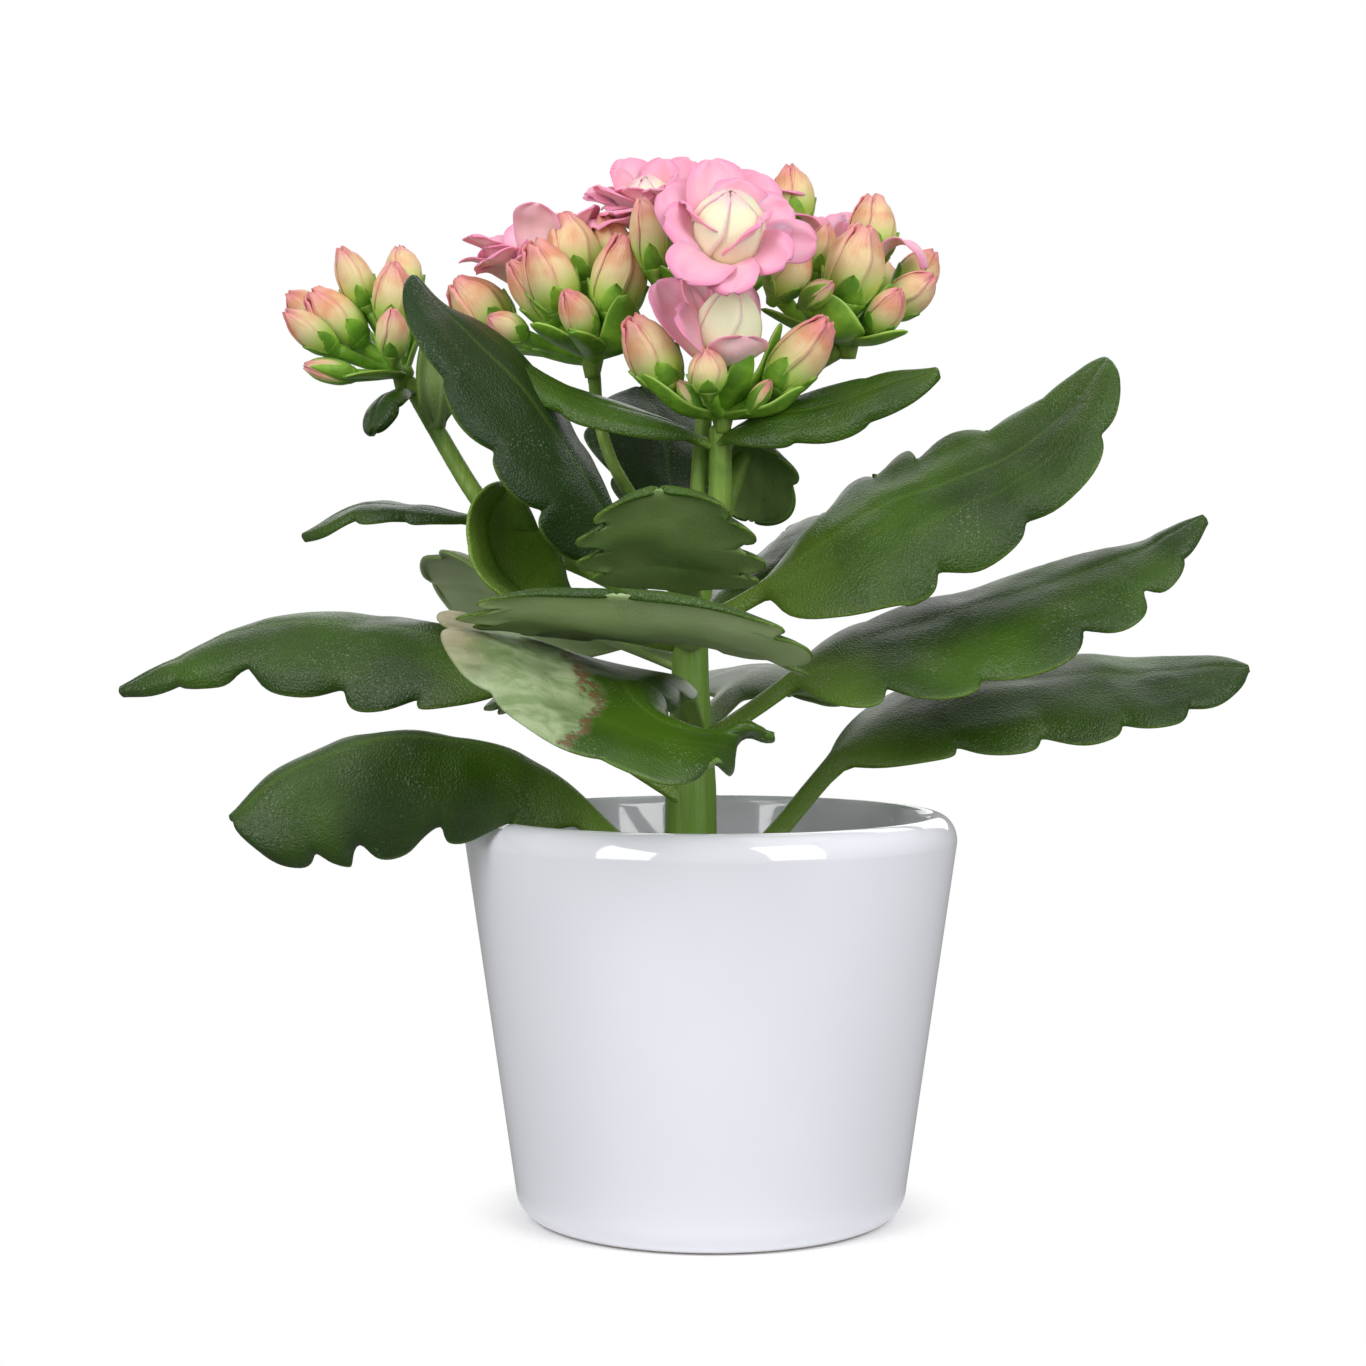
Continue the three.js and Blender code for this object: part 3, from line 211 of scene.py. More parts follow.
HEADS = {
    "left": dict(
        hub=[-50.2, 13, 134.8], carries=[],
        buds=[
            [[-55.6, 12, 145.2], [-59.5, 9, 153.9], 2.6], [[-50, 18, 146.6], [-51.4, 20, 155.4], 2.9],
            [[-51.2, 9.5, 142], [-50.8, 6, 151.2], 3.1], [[-51, 5, 136.8], [-50.6, 1.4, 143.5], 2.4],
            [[-57.2, 12, 139.4], [-64.2, 8.4, 146.8], 3.5],
            [[-62.9, 18.4, 142.2], [-69.2, 17.4, 147.8], 2.7],
            [[-60.8, 6.8, 138], [-67.4, 3.2, 143.4], 2.3], [[-57.4, 6.6, 133.8], [-64.4, 3.4, 135], 1.8],
        ],
        bracts=[
            [2.6, [-50.2, 12, 134], [-54.5, 6, 133.6], [-58.6, 3, 133.2]],
            [2.4, [-49.6, 13.4, 135], [-47.8, 14, 140], [-45.8, 14.5, 145.4]],
            [2.6, [-50.4, 13.6, 136], [-55.4, 16, 139], [-58, 18, 143]],
        ]),
    "centre_left": dict(
        hub=[-19.2, 10, 136.6], carries=["centre_left"],
        buds=[
            [[-33.4, 14.6, 141.4], [-41.4, 12.6, 148.9], 4], [[-30, 6, 140], [-35.1, 3, 142.6], 2.2],
            [[-25.2, 9.4, 142.6], [-32, 7.4, 151.4], 2.8], [[-23.2, 3, 144], [-28, -1, 153.5], 3.7],
            [[-20.4, 9.5, 148.4], [-24.2, 8, 159], 4], [[-19.2, 0.4, 139.6], [-22.7, -4, 145.8], 2.6],
            [[-15.5, 2, 142.6], [-13.8, 0, 154.6], 4], [[-15.4, 12, 151], [-17.4, 11, 159.6], 3],
        ],
        bracts=[
            [2.6, [-19, 9, 136.4], [-19, 0, 137.4], [-21.7, -6, 139.6]],
            [2.6, [-19.4, 9, 136.8], [-24, -1, 138.4], [-28, -5, 141]],
            [4, [-18.6, 9, 136.6], [-14, 0, 138], [-13.8, -5.6, 145.4]],
            [3, [-19.8, 10.6, 136.4], [-26, 14, 137.4], [-33, 17, 138.4]],
        ],
        petals=[
            dict(spine=[[-26, 9, 147], [-27.4, 8, 152], [-28, 6.4, 157], [-27.6, 4, 161]], width=4),
            dict(spine=[[-25, 13, 147], [-23, 13, 153], [-21, 12, 158], [-18.6, 10.4, 161.4]], width=4),
            dict(spine=[[-29, 15, 148], [-33, 14, 152], [-36.4, 12.4, 155], [-39, 10, 156.4]],
            width=3.8),
        ]),
    "top": dict(
        hub=[1.4, 5.4, 144.4], carries=["main", "top_left"],
        buds=[
            [[-8.9, 0, 149.6], [-10.8, -3, 160], 2.7], [[13.5, 10, 158], [12.7, 10, 167.2], 3.1],
            [[6.4, 17, 156], [8, 21, 164.6], 3], [[0, 20, 155.4], [-1, 24.6, 163.4], 3],
        ],
        bracts=[
            [2.6, [1, 5, 144.6], [-5, 1, 146.6], [-9, -2, 150.6]],
            [2.8, [1.6, 6, 144.6], [4, 12, 148], [7, 18, 152]],
        ],
        petals=[
            dict(spine=[[-4, 12, 153], [-5.4, 10, 158], [-7, 6, 161.6], [-9.4, 3, 163]], width=4.4),
            dict(spine=[[7, 12, 154], [9, 12, 159], [12, 10, 162.6], [15.4, 8, 163]], width=4.4),
        ]),
    "right": dict(
        hub=[22, 6.8, 139.4], carries=["right"],
        buds=[
            [[26.1, 12, 152.6], [26.2, 12, 162.6], 3.5], [[16.9, 7, 149.6], [18.5, 6, 157.4], 2.2],
            [[10.4, 2, 146.4], [14.1, -2, 152.9], 3.3], [[14.6, -2.4, 144.4], [18.6, -5.6, 147], 1.8],
            [[21.4, 2, 144.4], [23.8, -1, 156], 4.2], [[28.3, 7, 143.8], [35.1, 4, 149.1], 2.9],
            [[25.8, 2.4, 140.6], [29.4, -2, 146.1], 2.6], [[31, 13, 147], [36, 15, 154], 3],
            [[26, 20, 146], [29, 25, 153.4], 3],
        ],
        bracts=[
            [2.6, [22, 6, 138.8], [26, 1, 138.4], [30.8, -2, 140]],
            [4.6, [21.8, 6, 138.6], [19.4, -1, 139.6], [17.8, -4, 145.8]],
            [2.4, [22.4, 7, 139.4], [26.4, 5, 143.6], [28.8, 3.6, 148]],
            [2.6, [21, 7.4, 138.8], [14, 6, 141], [8, 3, 144]],
        ],
        petals=[
            dict(spine=[[25.8, 10.6, 150], [28.6, 9, 154.2], [32, 7.6, 154.8], [34.4, 6.4, 150.8]],
            width=2.6, fold=-20),
            dict(spine=[[16, 14, 148], [15.6, 12, 153], [14, 9, 157], [12.6, 6.6, 159.4]], width=4),
        ]),
    "front": dict(
        hub=[1.8, -3, 127], carries=["front"],
        buds=[
            [[-6.4, -8, 131.2], [-12.1, -12, 140.6], 3.6], [[-0.4, -12.4, 130], [-0.7, -15, 135.8], 2.7],
            [[10, -6.4, 130.6], [17.5, -10, 140.5], 3.6], [[6.2, -8, 127.6], [8.9, -11, 131.4], 1.4],
            [[-2.2, -9, 127.6], [-4.8, -11, 131.4], 1.4],
        ],
        bracts=[
            [2.6, [2, -4, 127.6], [4.4, -9, 131.6], [6, -10.6, 136]],
            [3.4, [2.2, -3, 127.4], [8.6, -5, 132.6], [11, -5.4, 141]],
            [3, [1.6, -3.4, 126.4], [-4.8, -9, 127], [-10.8, -12, 132.6]],
            [3, [2.2, -3.4, 126.4], [9.9, -8, 127], [14.4, -10, 130.8]],
        ]),
}


def whorl(count, length, width, opening, curl, turn):
    """Petals of one ring, evenly spaced round the bloom's axis from the turn given."""
    return [[turn + 360 * i / count, length, width, opening, curl] for i in range(count)]


# Open blooms: a heart is its length and radius. A petal is its azimuth, length, half width, opening
# at the root, curl and, if it has its own, twist.

BLOOMS = {
    "main": dict(
        foot=[2.3, -7, 150.6], axis=[0.06, -0.62, 0.78], heart=[11.5, 5.2],
        petals=[
            [15, 14.5, 5.2, 18, 22, 0], [-30, 13.6, 5.2, 26, 34, 14], [-70, 11.6, 4.6, 24, 44, 24],
            [-100, 13, 3.6, 40, 56, 34], [-138, 12, 4.4, 34, 56, 30], [152, 16.5, 5, 44, 50, -14],
            [178, 14.6, 4.4, 52, 44, 10], [104, 12.2, 4.8, 24, 40, -24], [58, 13, 5.2, 30, 34, -20],
            *whorl(3, 11.6, 5, 14, 22, -20),
        ]),
    "top_left": dict(
        foot=[-9.6, 17, 158.4], axis=[-0.12, -0.5, 0.86], heart=[8.6, 4],
        petals=[
            *whorl(5, 11, 4.6, 40, 48, 0), *whorl(4, 11.6, 4.2, 20, 22, 36),
            *whorl(6, 8.8, 2.6, 12, 60, 10), *whorl(5, 10.6, 4.2, 58, 40, 32),
            *whorl(5, 10.8, 3.8, 32, 36, 14), *whorl(4, 10.6, 3.4, 12, 16, 70),
        ]),
    "front": dict(
        foot=[1.9, -7.4, 134.4], axis=[0.12, -0.2, 0.97], heart=[11.6, 4.6],
        petals=[
            [58, 15, 5, 38, 6, -45], [100, 11.5, 4.4, 40, 14, -50], [-34, 16.5, 4.8, 26, 22, 34],
            [20, 15.5, 4.6, 16, 24, 0], [-80, 13, 1.9, 34, 130, 10], [178, 6.6, 5.4, 60, -52, 0],
        ]),
    "right": dict(
        foot=[18, 20, 152.6], axis=[-0.05, -0.35, 0.93], heart=[6.4, 3.2],
        petals=[
            *whorl(6, 10, 3.8, 26, 44, 20), *whorl(5, 8.4, 2.6, 12, 60, 30),
            *whorl(5, 9, 3, 22, 34, 44), *whorl(4, 7.6, 2.4, 8, 14, 10),
        ]),
    "centre_left": dict(
        foot=[-28.6, 18, 149.4], axis=[-0.35, -0.3, 0.89], heart=[7, 3.4],
        petals=[
            *whorl(6, 11.8, 4.4, 22, 42, 15), *whorl(6, 9.6, 2.8, 12, 66, 45),
            *whorl(5, 11, 3.8, 14, 28, 40), *whorl(4, 9, 2.6, 8, 16, 10),
        ]),
}


# Finishes: a small wrapper lets shader maths be written as plain expressions

class Tone:
    """A value in a finish's nodes. Arithmetic on it adds Math nodes."""

    def __init__(self, finish, socket):
        self.finish = finish
        self.socket = socket

    def maths(self, operation, *terms):
        return self.finish.node("ShaderNodeMath", {"operation": operation}, dict(enumerate(terms)))

    def __add__(self, other):
        return self.maths("ADD", self, other)

    def __sub__(self, other):
        return self.maths("SUBTRACT", self, other)

    def __rsub__(self, other):
        return self.maths("SUBTRACT", other, self)

    def __mul__(self, other):
        return self.maths("MULTIPLY", self, other)

    def __abs__(self):
        return self.maths("ABSOLUTE", self)

    __radd__ = __add__
    __rmul__ = __mul__

    def rise(self, low, high):
        """0 up to low, 1 from high on, and smooth between them."""
        settings = {"interpolation_type": "SMOOTHSTEP"}
        values = {"Value": self, "From Min": low, "From Max": high}
        return self.finish.node("ShaderNodeMapRange", settings, values)


class Finish:
    """A material and its nodes. Plain values go on the shader's own sockets."""

    def __init__(self, name, **plain):
        self.material = bpy.data.materials.new(name)
        self.material.use_nodes = True
        self.tree = self.material.node_tree
        self.shader = self.tree.nodes["Principled BSDF"]
        for socket, value in plain.items():
            self.lay(socket.replace("_", " ").title().replace("Ior", "IOR"), value)

    def put(self, socket, value):
        """Links a tone to a socket, or sets its plain value."""
        if isinstance(value, Tone):
            self.tree.links.new(value.socket, socket)
        elif socket.type == "RGBA":
            socket.default_value = (*value, 1)
        else:
            socket.default_value = value

    def lay(self, socket, value):
        """Sets one socket of the shader."""
        self.put(self.shader.inputs[socket], value)

    def node(self, kind, settings=None, inputs=None, output=None):
        """Adds a node with its settings, then the values or links of its inputs."""
        made = self.tree.nodes.new(kind)
        for setting, value in (settings or {}).items():
            setattr(made, setting, value)
        for key, value in (inputs or {}).items():
            found = made.inputs[key] if isinstance(key, int) else next(
                s for s in made.inputs if s.enabled and key in (s.name, s.identifier))
            self.put(found, value)
        named = (s for s in made.outputs if s.enabled and output in (None, s.name))
        return Tone(self, next(named))

    def place(self):
        """Where a point is on the piece, in metres."""
        return self.node("ShaderNodeTexCoord", output="Object")

    def part(self, vector, axis):
        """One coordinate of a vector."""
        return self.node("ShaderNodeSeparateXYZ", inputs={0: vector}, output=axis)

    def across(self):
        """-1 at a blade's left margin, 0 on its midrib and 1 at its right margin."""
        return self.part(self.node("ShaderNodeUVMap"), "X") * 2 - 1

    def along(self):
        """0 at a blade's root and 1 at its tip."""
        return self.part(self.node("ShaderNodeUVMap"), "Y")

    def grain(self, size, detail=2, rough=0.5, where=None, stretch=None, wander=0):
        """Noise whose features are about size millimetres wide, drawn out along an axis by stretch."""
        where = where or self.place()
        if stretch:
            where = self.node("ShaderNodeMapping", inputs={"Vector": where, "Scale": stretch})
        values = {"Vector": where, "Scale": 1 / (size * MM), "Detail": detail, "Roughness": rough,
                  "Distortion": wander}
        return self.node("ShaderNodeTexNoise", inputs=values, output="Fac")

    def streaks(self, width, length, wander=0):
        """Noise drawn out along a blade, from shares of the blade's width and length."""
        vector = self.node("ShaderNodeUVMap")
        stretch = (1 / width, 1 / length, 1)
        vector = self.node("ShaderNodeMapping", inputs={"Vector": vector, "Scale": stretch})
        values = {"Vector": vector, "Scale": 1, "Detail": 2, "Distortion": wander}
        return self.node("ShaderNodeTexNoise", inputs=values, output="Fac")

    def mix(self, share, first, second):
        """A colour between two others."""
        values = {"Factor": share, "A": first, "B": second}
        return self.node("ShaderNodeMix", {"data_type": "RGBA"}, values)

    def done(self, colour, roughness, height, depth):
        """The material with its colour, its roughness and bumps: a height, times depth in millimetres."""
        self.lay("Base Color", colour)
        self.lay("Roughness", roughness)
        values = {"Height": height, "Distance": depth * MM, "Strength": 1.0}
        self.lay("Normal", self.node("ShaderNodeBump", inputs=values))
        return self.material


def finish_glaze(colours):
    """Glossy white glaze, which stops short of the foot's dry bisque ring."""
    paint = Finish("white_glaze", roughness=0.06, coat_weight=0.6, coat_roughness=0.03, ior=1.52)
    height = paint.part(paint.place(), "Z")
    wave = paint.grain(14, detail=1)
    bisque = 1 - height.rise(0.1 * MM, 0.5 * MM)
    glaze = paint.mix(wave * 0.25, colours.glaze, colours.glaze_shade)
    pinholes = paint.grain(0.9, detail=0).rise(0.80, 0.86)
    return paint.done(
        paint.mix(bisque, glaze, colours.bisque),
        0.05 + bisque * 0.7 + paint.grain(3) * 0.03, wave + pinholes * -0.2, 0.05)


def finish_plastic(colours):
    """Thin black moulded plastic, dulled by dust and water marks."""
    paint = Finish("black_plastic")
    dust = paint.grain(4, detail=4)
    return paint.done(
        paint.mix(dust.rise(0.5, 0.8) * 0.4, colours.plastic, colours.dust),
        0.38 + dust * 0.3, paint.grain(0.5), 0.03)


def finish_soil(colours):
    """Damp peat: dark crumbs with lighter fibres."""
    paint = Finish("damp_peat", specular_ior_level=0.25)
    crumbs = paint.grain(1.4, detail=5, rough=0.65)
    fibres = paint.grain(0.7, detail=3, stretch=(1, 0.12, 0.4), wander=2).rise(0.62, 0.72)
    peat = paint.mix(crumbs.rise(0.35, 0.7), colours.peat_dark, colours.peat)
    return paint.done(
        paint.mix(fibres * 0.5, peat, colours.fibre),
        0.75 + crumbs * 0.25, crumbs + paint.grain(0.35, detail=3) * 0.4, 0.7)


def finish_stem(colours):
    """Green stalk with lengthwise ribs and a few brown scars, lighter towards the top and darker towards
    its foot.
    """
    paint = Finish("green_stalk", specular_ior_level=0.4)
    ribs = paint.grain(0.9, detail=3, stretch=(1, 1, 0.08))
    patches = paint.grain(7, detail=3)
    scars = paint.grain(1.7, detail=4, stretch=(1, 1, 0.5)).rise(0.72, 0.78)
    # Lighter green patches higher up, and a darker green towards the foot as well as in the grooves
    height = paint.part(paint.place(), "Z").rise(70 * MM, 125 * MM)
    light = patches.rise(0.35, 0.7) * (0.15 + height * 0.85)
    green = paint.mix(light, colours.stalk, colours.stalk_light)
    green = paint.mix(ribs.rise(0.3, 0.75) * 0.4 + (1 - height) * 0.45, green, colours.stalk_dark)
    return paint.done(
        paint.mix(scars * 0.6, green, colours.scar),
        0.34 + ribs * 0.25, ribs + paint.grain(0.3) * 0.15, 0.22)


def leaf_green(paint, colours, dark, light):
    """The mottled green of a leaf, with its pale margin and midrib, and pale grains that stand for wax and
    paint in glints of light.
    """
    across = abs(paint.across())
    along = paint.along()
    patches = paint.grain(20, detail=2)
    fine = paint.grain(0.6, detail=4, rough=0.7)
    veins = paint.streaks(0.12, 0.6, wander=0.8).rise(0.52, 0.8)
    wax_and_glint_patches = paint.grain(9, detail=3).rise(0.44, 0.70)
    wax_and_glint_grain = paint.grain(0.34, detail=1).rise(0.60, 0.72) * wax_and_glint_patches
    body = 1 - along.rise(0.9, 1.0)
    midrib = (1 - across.rise(0.0, 0.05)) * body
    margin = across.rise(0.955, 1.0) * body
    green = paint.mix(patches.rise(0.3, 0.75) * 0.75 + fine * 0.25, dark, light)
    green = paint.mix(veins * 0.08 + midrib * 0.14, green, colours.leaf_edge)
    green = paint.mix(margin * 0.4 + (1 - along.rise(0.06, 0.3)) * 0.4, green, colours.leaf_edge)
    # Painted highlight: the pale grains, strewn in patches, are glints of light as well as wax
    return paint.mix(wax_and_glint_grain * 0.35, green, colours.wax_and_glint), wax_and_glint_grain


def leaf_skin(name, colours, dark, light, shine=0.36):
    """Upper side of a leaf: waxy, with fine grains that catch the light and are also painted pale as
    glints.
    """
    paint = Finish(name, specular_ior_level=shine, subsurface_weight=0.03, subsurface_scale=0.001)
    green, wax_and_glint = leaf_green(paint, colours, dark, light)
    return paint.done(
        green,
        0.25 + paint.grain(7, detail=3) * 0.22 + wax_and_glint * 0.1,
        paint.grain(0.36, detail=1) + paint.grain(2.6) * 0.4, 0.2)


def finish_leaf(colours):
    """Upper side of most leaves."""
    return leaf_skin("leaf_upper_side", colours, colours.leaf_dark, colours.leaf_light)


def finish_painted_shade_leaf(colours):
    """Upper side of the darkest leaves, in the shade of the heads: that shade is painted in as a darker
    green.
    """
    return leaf_skin("painted_shade_leaf_upper_side", colours, colours.leaf_painted_shade, colours.leaf_dark, shine=0.28)


def finish_young_leaf_painted_light(colours):
    """Upper side of a young leaf: bright yellow green, which also paints in the light that shines through
    it.
    """
    return leaf_skin("young_leaf_painted_light_upper_side", colours, colours.leaf_light, colours.leaf_edge)


def under_skin(name, colours, dark, light):
    """Underside of a leaf: flatter, with faint veins."""
    paint = Finish(name, specular_ior_level=0.35, subsurface_weight=0.05, subsurface_scale=0.001)
    green, wax_and_glint = leaf_green(paint, colours, dark, light)
    return paint.done(
        green,
        0.5 + wax_and_glint * 0.1, paint.grain(0.4, detail=1) + paint.streaks(0.05, 0.4) * 0.5, 0.08)


def finish_underside(colours):
    """Underside of most leaves."""
    return under_skin("leaf_underside", colours, colours.under_dark, colours.under_light)


def finish_wax_and_painted_light_underside(colours):
    """Underside of the leaves with the thickest wax, painted paler as well for the front light and sheen
    that they catch.
    """
    return under_skin("wax_and_painted_light_leaf_underside", colours, colours.under_light, colours.under_wax_and_painted_light)


def finish_scarred(colours):
    """Upper side of the lowest front leaf: its outer flank is rubbed pale behind a healed crease."""
    paint = Finish("scarred_leaf", specular_ior_level=0.45)
    green, wax_and_glint = leaf_green(paint, colours, colours.leaf_dark, colours.leaf_light)
    place = paint.place()
    ripple = (paint.grain(5, detail=3) - 0.5) * (5 * MM)
    height = paint.part(place, "Z")
    crease = paint.part(place, "X") + ripple + abs(height - 84 * MM) * 0.7
    worn = 0.6 + paint.grain(9, detail=2).rise(0.35, 0.6) * 0.4
    flank = (1 - crease.rise(-17.5 * MM, -14 * MM)) * worn
    blush = height.rise(86 * MM, 94 * MM) * (1 - crease.rise(-30 * MM, -24 * MM))
    rubbed = paint.grain(4, detail=4, wander=1).rise(0.35, 0.65)
    pale = paint.mix(rubbed, colours.flank, colours.flank_light)
    pale = paint.mix(blush * 0.55, pale, colours.flank_blush)
    scar = crease.rise(-17.3 * MM, -16.3 * MM) * (1 - crease.rise(-15.5 * MM, -14.5 * MM))
    scar = scar * paint.grain(1.4, detail=3).rise(0.42, 0.56)
    return paint.done(
        paint.mix(scar * 0.8, paint.mix(flank, green, pale), colours.scar),
        0.38 + flank * 0.14 + wax_and_glint * 0.1, paint.grain(0.35, detail=1) + scar * 1.5, 0.1)


def finish_bract(colours):
    """Calyx tips, bracts and small head stalks: bright green with a pale rim."""
    paint = Finish("calyx_green", specular_ior_level=0.45, subsurface_weight=0.08, subsurface_scale=0.001)
    across = abs(paint.across())
    patches = paint.grain(4, detail=3)
    green = paint.mix(patches.rise(0.35, 0.7), colours.calyx_dark, colours.calyx)
    green = paint.mix(across.rise(0.8, 1.0) * 0.6, green, colours.calyx_light)
    return paint.done(green, 0.36 + patches * 0.15, paint.grain(0.4), 0.06)


def finish_bud(colours):
    """Outside of a closed bud: cream with a green foot, a salmon blush and pink margins."""
    paint = Finish("bud_skin", specular_ior_level=0.4, subsurface_weight=0.12, subsurface_scale=0.0015)
    across = paint.across()
    along = paint.along()
    patches = paint.grain(5, detail=2)
    veins = paint.streaks(0.035, 0.6, wander=0.3).rise(0.48, 0.78)
    speckle = paint.grain(0.5, detail=3).rise(0.60, 0.75)
    cream = paint.mix(along.rise(0.2, 0.68), colours.bud_foot, colours.bud_cream)
    blush = (0.35 + patches.rise(0.36, 0.62) * 0.65) * along.rise(0.34, 0.8)
    skin = paint.mix(blush * 0.86, cream, colours.bud_blush)
    skin = paint.mix(veins * blush * 0.55 + speckle * blush * 0.3, skin, colours.bud_vein)
    rim = across.rise(0.86, 1.0) * along.rise(0.15, 0.7)
    tip = along.rise(0.74, 1.0)
    pink = rim * 0.42 + tip * 0.6
    return paint.done(
        paint.mix(pink, skin, colours.bud_rim),
        0.42 + paint.grain(1) * 0.15, veins + paint.grain(0.25) * 0.3, 0.05)


def finish_heart(colours):
    """Petals of a bloom's closed heart: clean cream with a touch of pink on their rims."""
    paint = Finish("heart_skin", specular_ior_level=0.3, subsurface_weight=0.25, subsurface_scale=0.002)
    across = paint.across()
    along = paint.along()
    veins = paint.streaks(0.04, 0.6, wander=0.3)
    cream = paint.mix(along.rise(0.0, 0.45), colours.heart_foot, colours.heart_cream)
    rim = across.rise(0.82, 1.0) * along.rise(0.25, 0.8)
    pink = rim * 0.55 + along.rise(0.84, 1.0) * 0.6 + veins.rise(0.5, 0.9) * along * 0.15
    return paint.done(
        paint.mix(pink, cream, colours.petal),
        0.46 + paint.grain(1) * 0.12, veins + paint.grain(0.25) * 0.3, 0.04)


def petal_skin(name, colours, middle, claw, rim):
    """A petal's surface: pale claw, coloured body and a deeper rim, with fine lengthwise veins."""
    paint = Finish(name, specular_ior_level=0.3, subsurface_weight=0.35, subsurface_scale=0.0012,
                   sheen_weight=0.08)
    across = abs(paint.across())
    along = paint.along()
    veins = paint.streaks(0.03, 0.7, wander=0.2)
    patches = paint.grain(6, detail=2)
    body = paint.mix(along.rise(0.05, 0.4) * 0.9, claw, middle)
    body = paint.mix(patches.rise(0.35, 0.75) * 0.35, body, colours.petal_pale)
    edge = across.rise(0.55, 1.0) * 0.45 + along.rise(0.7, 1.0) * 0.35
    body = paint.mix(edge, body, rim)
    return paint.done(
        paint.mix(veins.rise(0.5, 0.8) * 0.22, body, rim),
        0.5 + patches * 0.12, veins + paint.grain(0.25) * 0.2, 0.05)


def finish_petal(colours):
    """Inner side of a petal."""
    return petal_skin("petal_inner_side", colours, colours.petal, colours.petal_claw,
                      colours.petal_rim)


def finish_petal_back(colours):
    """Outer side of a petal, closer to the bud's cream and salmon."""
    return petal_skin("petal_outer_side", colours, colours.petal_back, colours.bud_cream,
                      colours.petal)


FINISHES = {
    "glaze": finish_glaze, "plastic": finish_plastic, "soil": finish_soil, "stem": finish_stem,
    "leaf": finish_leaf, "painted_shade_leaf": finish_painted_shade_leaf, "young_leaf_painted_light": finish_young_leaf_painted_light,
    "underside": finish_underside, "wax_and_painted_light_underside": finish_wax_and_painted_light_underside, "scarred": finish_scarred,
    "bract": finish_bract, "bud": finish_bud, "heart": finish_heart, "petal": finish_petal,
    "petal_back": finish_petal_back,
}
READY = {}


def finish(name):
    """A named finish, made the first time that a piece asks for it."""
    if name not in READY:
        READY[name] = FINISHES[name](bpy.context.scene.kalanchoe_colours)
    return READY[name]


# Shapes

def mix(first, second, share):
    """A value between two others."""
    return first + (second - first) * share


def step(value, low, high):
    """0 up to low, 1 from high on, and smooth between them."""
    share = min(max((value - low) / (high - low), 0), 1)
    return share * share * (3 - 2 * share)


def along(value, s):
    """A number, or the parabola through its values at the start, middle and end."""
    if isinstance(value, (int, float)):
        return value
    start, middle, end = value
    return start * (1 - s) * (1 - 2 * s) + middle * 4 * s * (1 - s) + end * s * (2 * s - 1)


class Spine:
    """A smooth line through points."""

    def __init__(self, points):
        points = [Vector(point) for point in points]
        self.links = len(points) - 1
        self.points = [2 * points[0] - points[1], *points, 2 * points[-1] - points[-2]]

    def link(self, s):
        """The cubic of the link that holds s, and where on that link it is."""
        number = min(int(s * self.links), self.links - 1)
        before, start, end, after = self.points[number:number + 4]
        leave = (end - before) / 2
        arrive = (after - start) / 2
        bend = 3 * (end - start) - 2 * leave - arrive
        twist = 2 * (start - end) + leave + arrive
        return (start, leave, bend, twist), s * self.links - number

    def at(self, s):
        """The point at a share of the line."""
        (start, leave, bend, twist), w = self.link(s)
        return start + leave * w + bend * w ** 2 + twist * w ** 3

    def heading(self, s):
        """The direction in which the line runs there."""
        (_, leave, bend, twist), w = self.link(s)
        return (leave + bend * (2 * w) + twist * (3 * w ** 2)).normalized()


def square_to(vector, axis):
    """The part of a vector that is square to an axis, at length 1."""
    return (vector - axis * vector.dot(axis)).normalized()


def across_axis(axis):
    """A direction square to an axis, upward unless the axis is nearly upright."""
    return square_to(UP if abs(axis.z) < 0.8 else Vector((0, -1, 0)), axis)


def polar(radius, angle, height=0):
    """A point at a radius and an angle round the upright axis, at a height."""
    return Vector((radius * math.cos(angle), radius * math.sin(angle), height))


def both(value):
    """A value for each half of a blade: the pair given, or one value twice."""
    return value if isinstance(value, (list, tuple)) and len(value) == 2 else (value, value)


def deselect():
    """Clears the selection."""
    bpy.ops.object.select_all(action="DESELECT")


def pick(*pieces):
    """Selects only these pieces and makes the first one active."""
    deselect()
    for piece in pieces:
        piece.select_set(True)
    bpy.context.view_layer.objects.active = pieces[0]


def sheet(name, columns, rows, place):
    """Adds a grid and lays each vertex where place(across, along, row) says, in millimetres.

    Across runs from -1 to 1 and along from 0 to 1. The grid's own UV map keeps both as shares.
    """
    deselect()
    bpy.ops.mesh.primitive_grid_add(x_subdivisions=columns, y_subdivisions=rows, size=2)
    piece = bpy.context.object
    piece.name = name
    for vertex in piece.data.vertices:
        row, column = divmod(vertex.index, columns + 1)
        vertex.co = place(2 * column / columns - 1, row / rows, row) * MM
    piece.data.update()
    return piece


def emboss(piece, columns, rows, height):
    """Moves each vertex of a sheet along its normal by height(across, along, point), in millimetres."""
    moves = []
    for vertex in piece.data.vertices:
        row, column = divmod(vertex.index, columns + 1)
        moves.append(vertex.normal * height(2 * column / columns - 1, row / rows, vertex.co / MM) * MM)
    for vertex, move in zip(piece.data.vertices, moves):
        vertex.co += move
    piece.data.update()


def apply_modifier(piece, kind, **settings):
    """Adds a modifier to a piece, sets it up and applies it."""
    pick(piece)
    made = piece.modifiers.new(kind.lower(), kind)
    for setting, value in settings.items():
        setattr(made, setting, value)
    bpy.ops.object.modifier_apply(modifier=made.name)


def coat(piece, *names):
    """Gives a piece its finishes."""
    for name in names:
        piece.data.materials.append(finish(name))


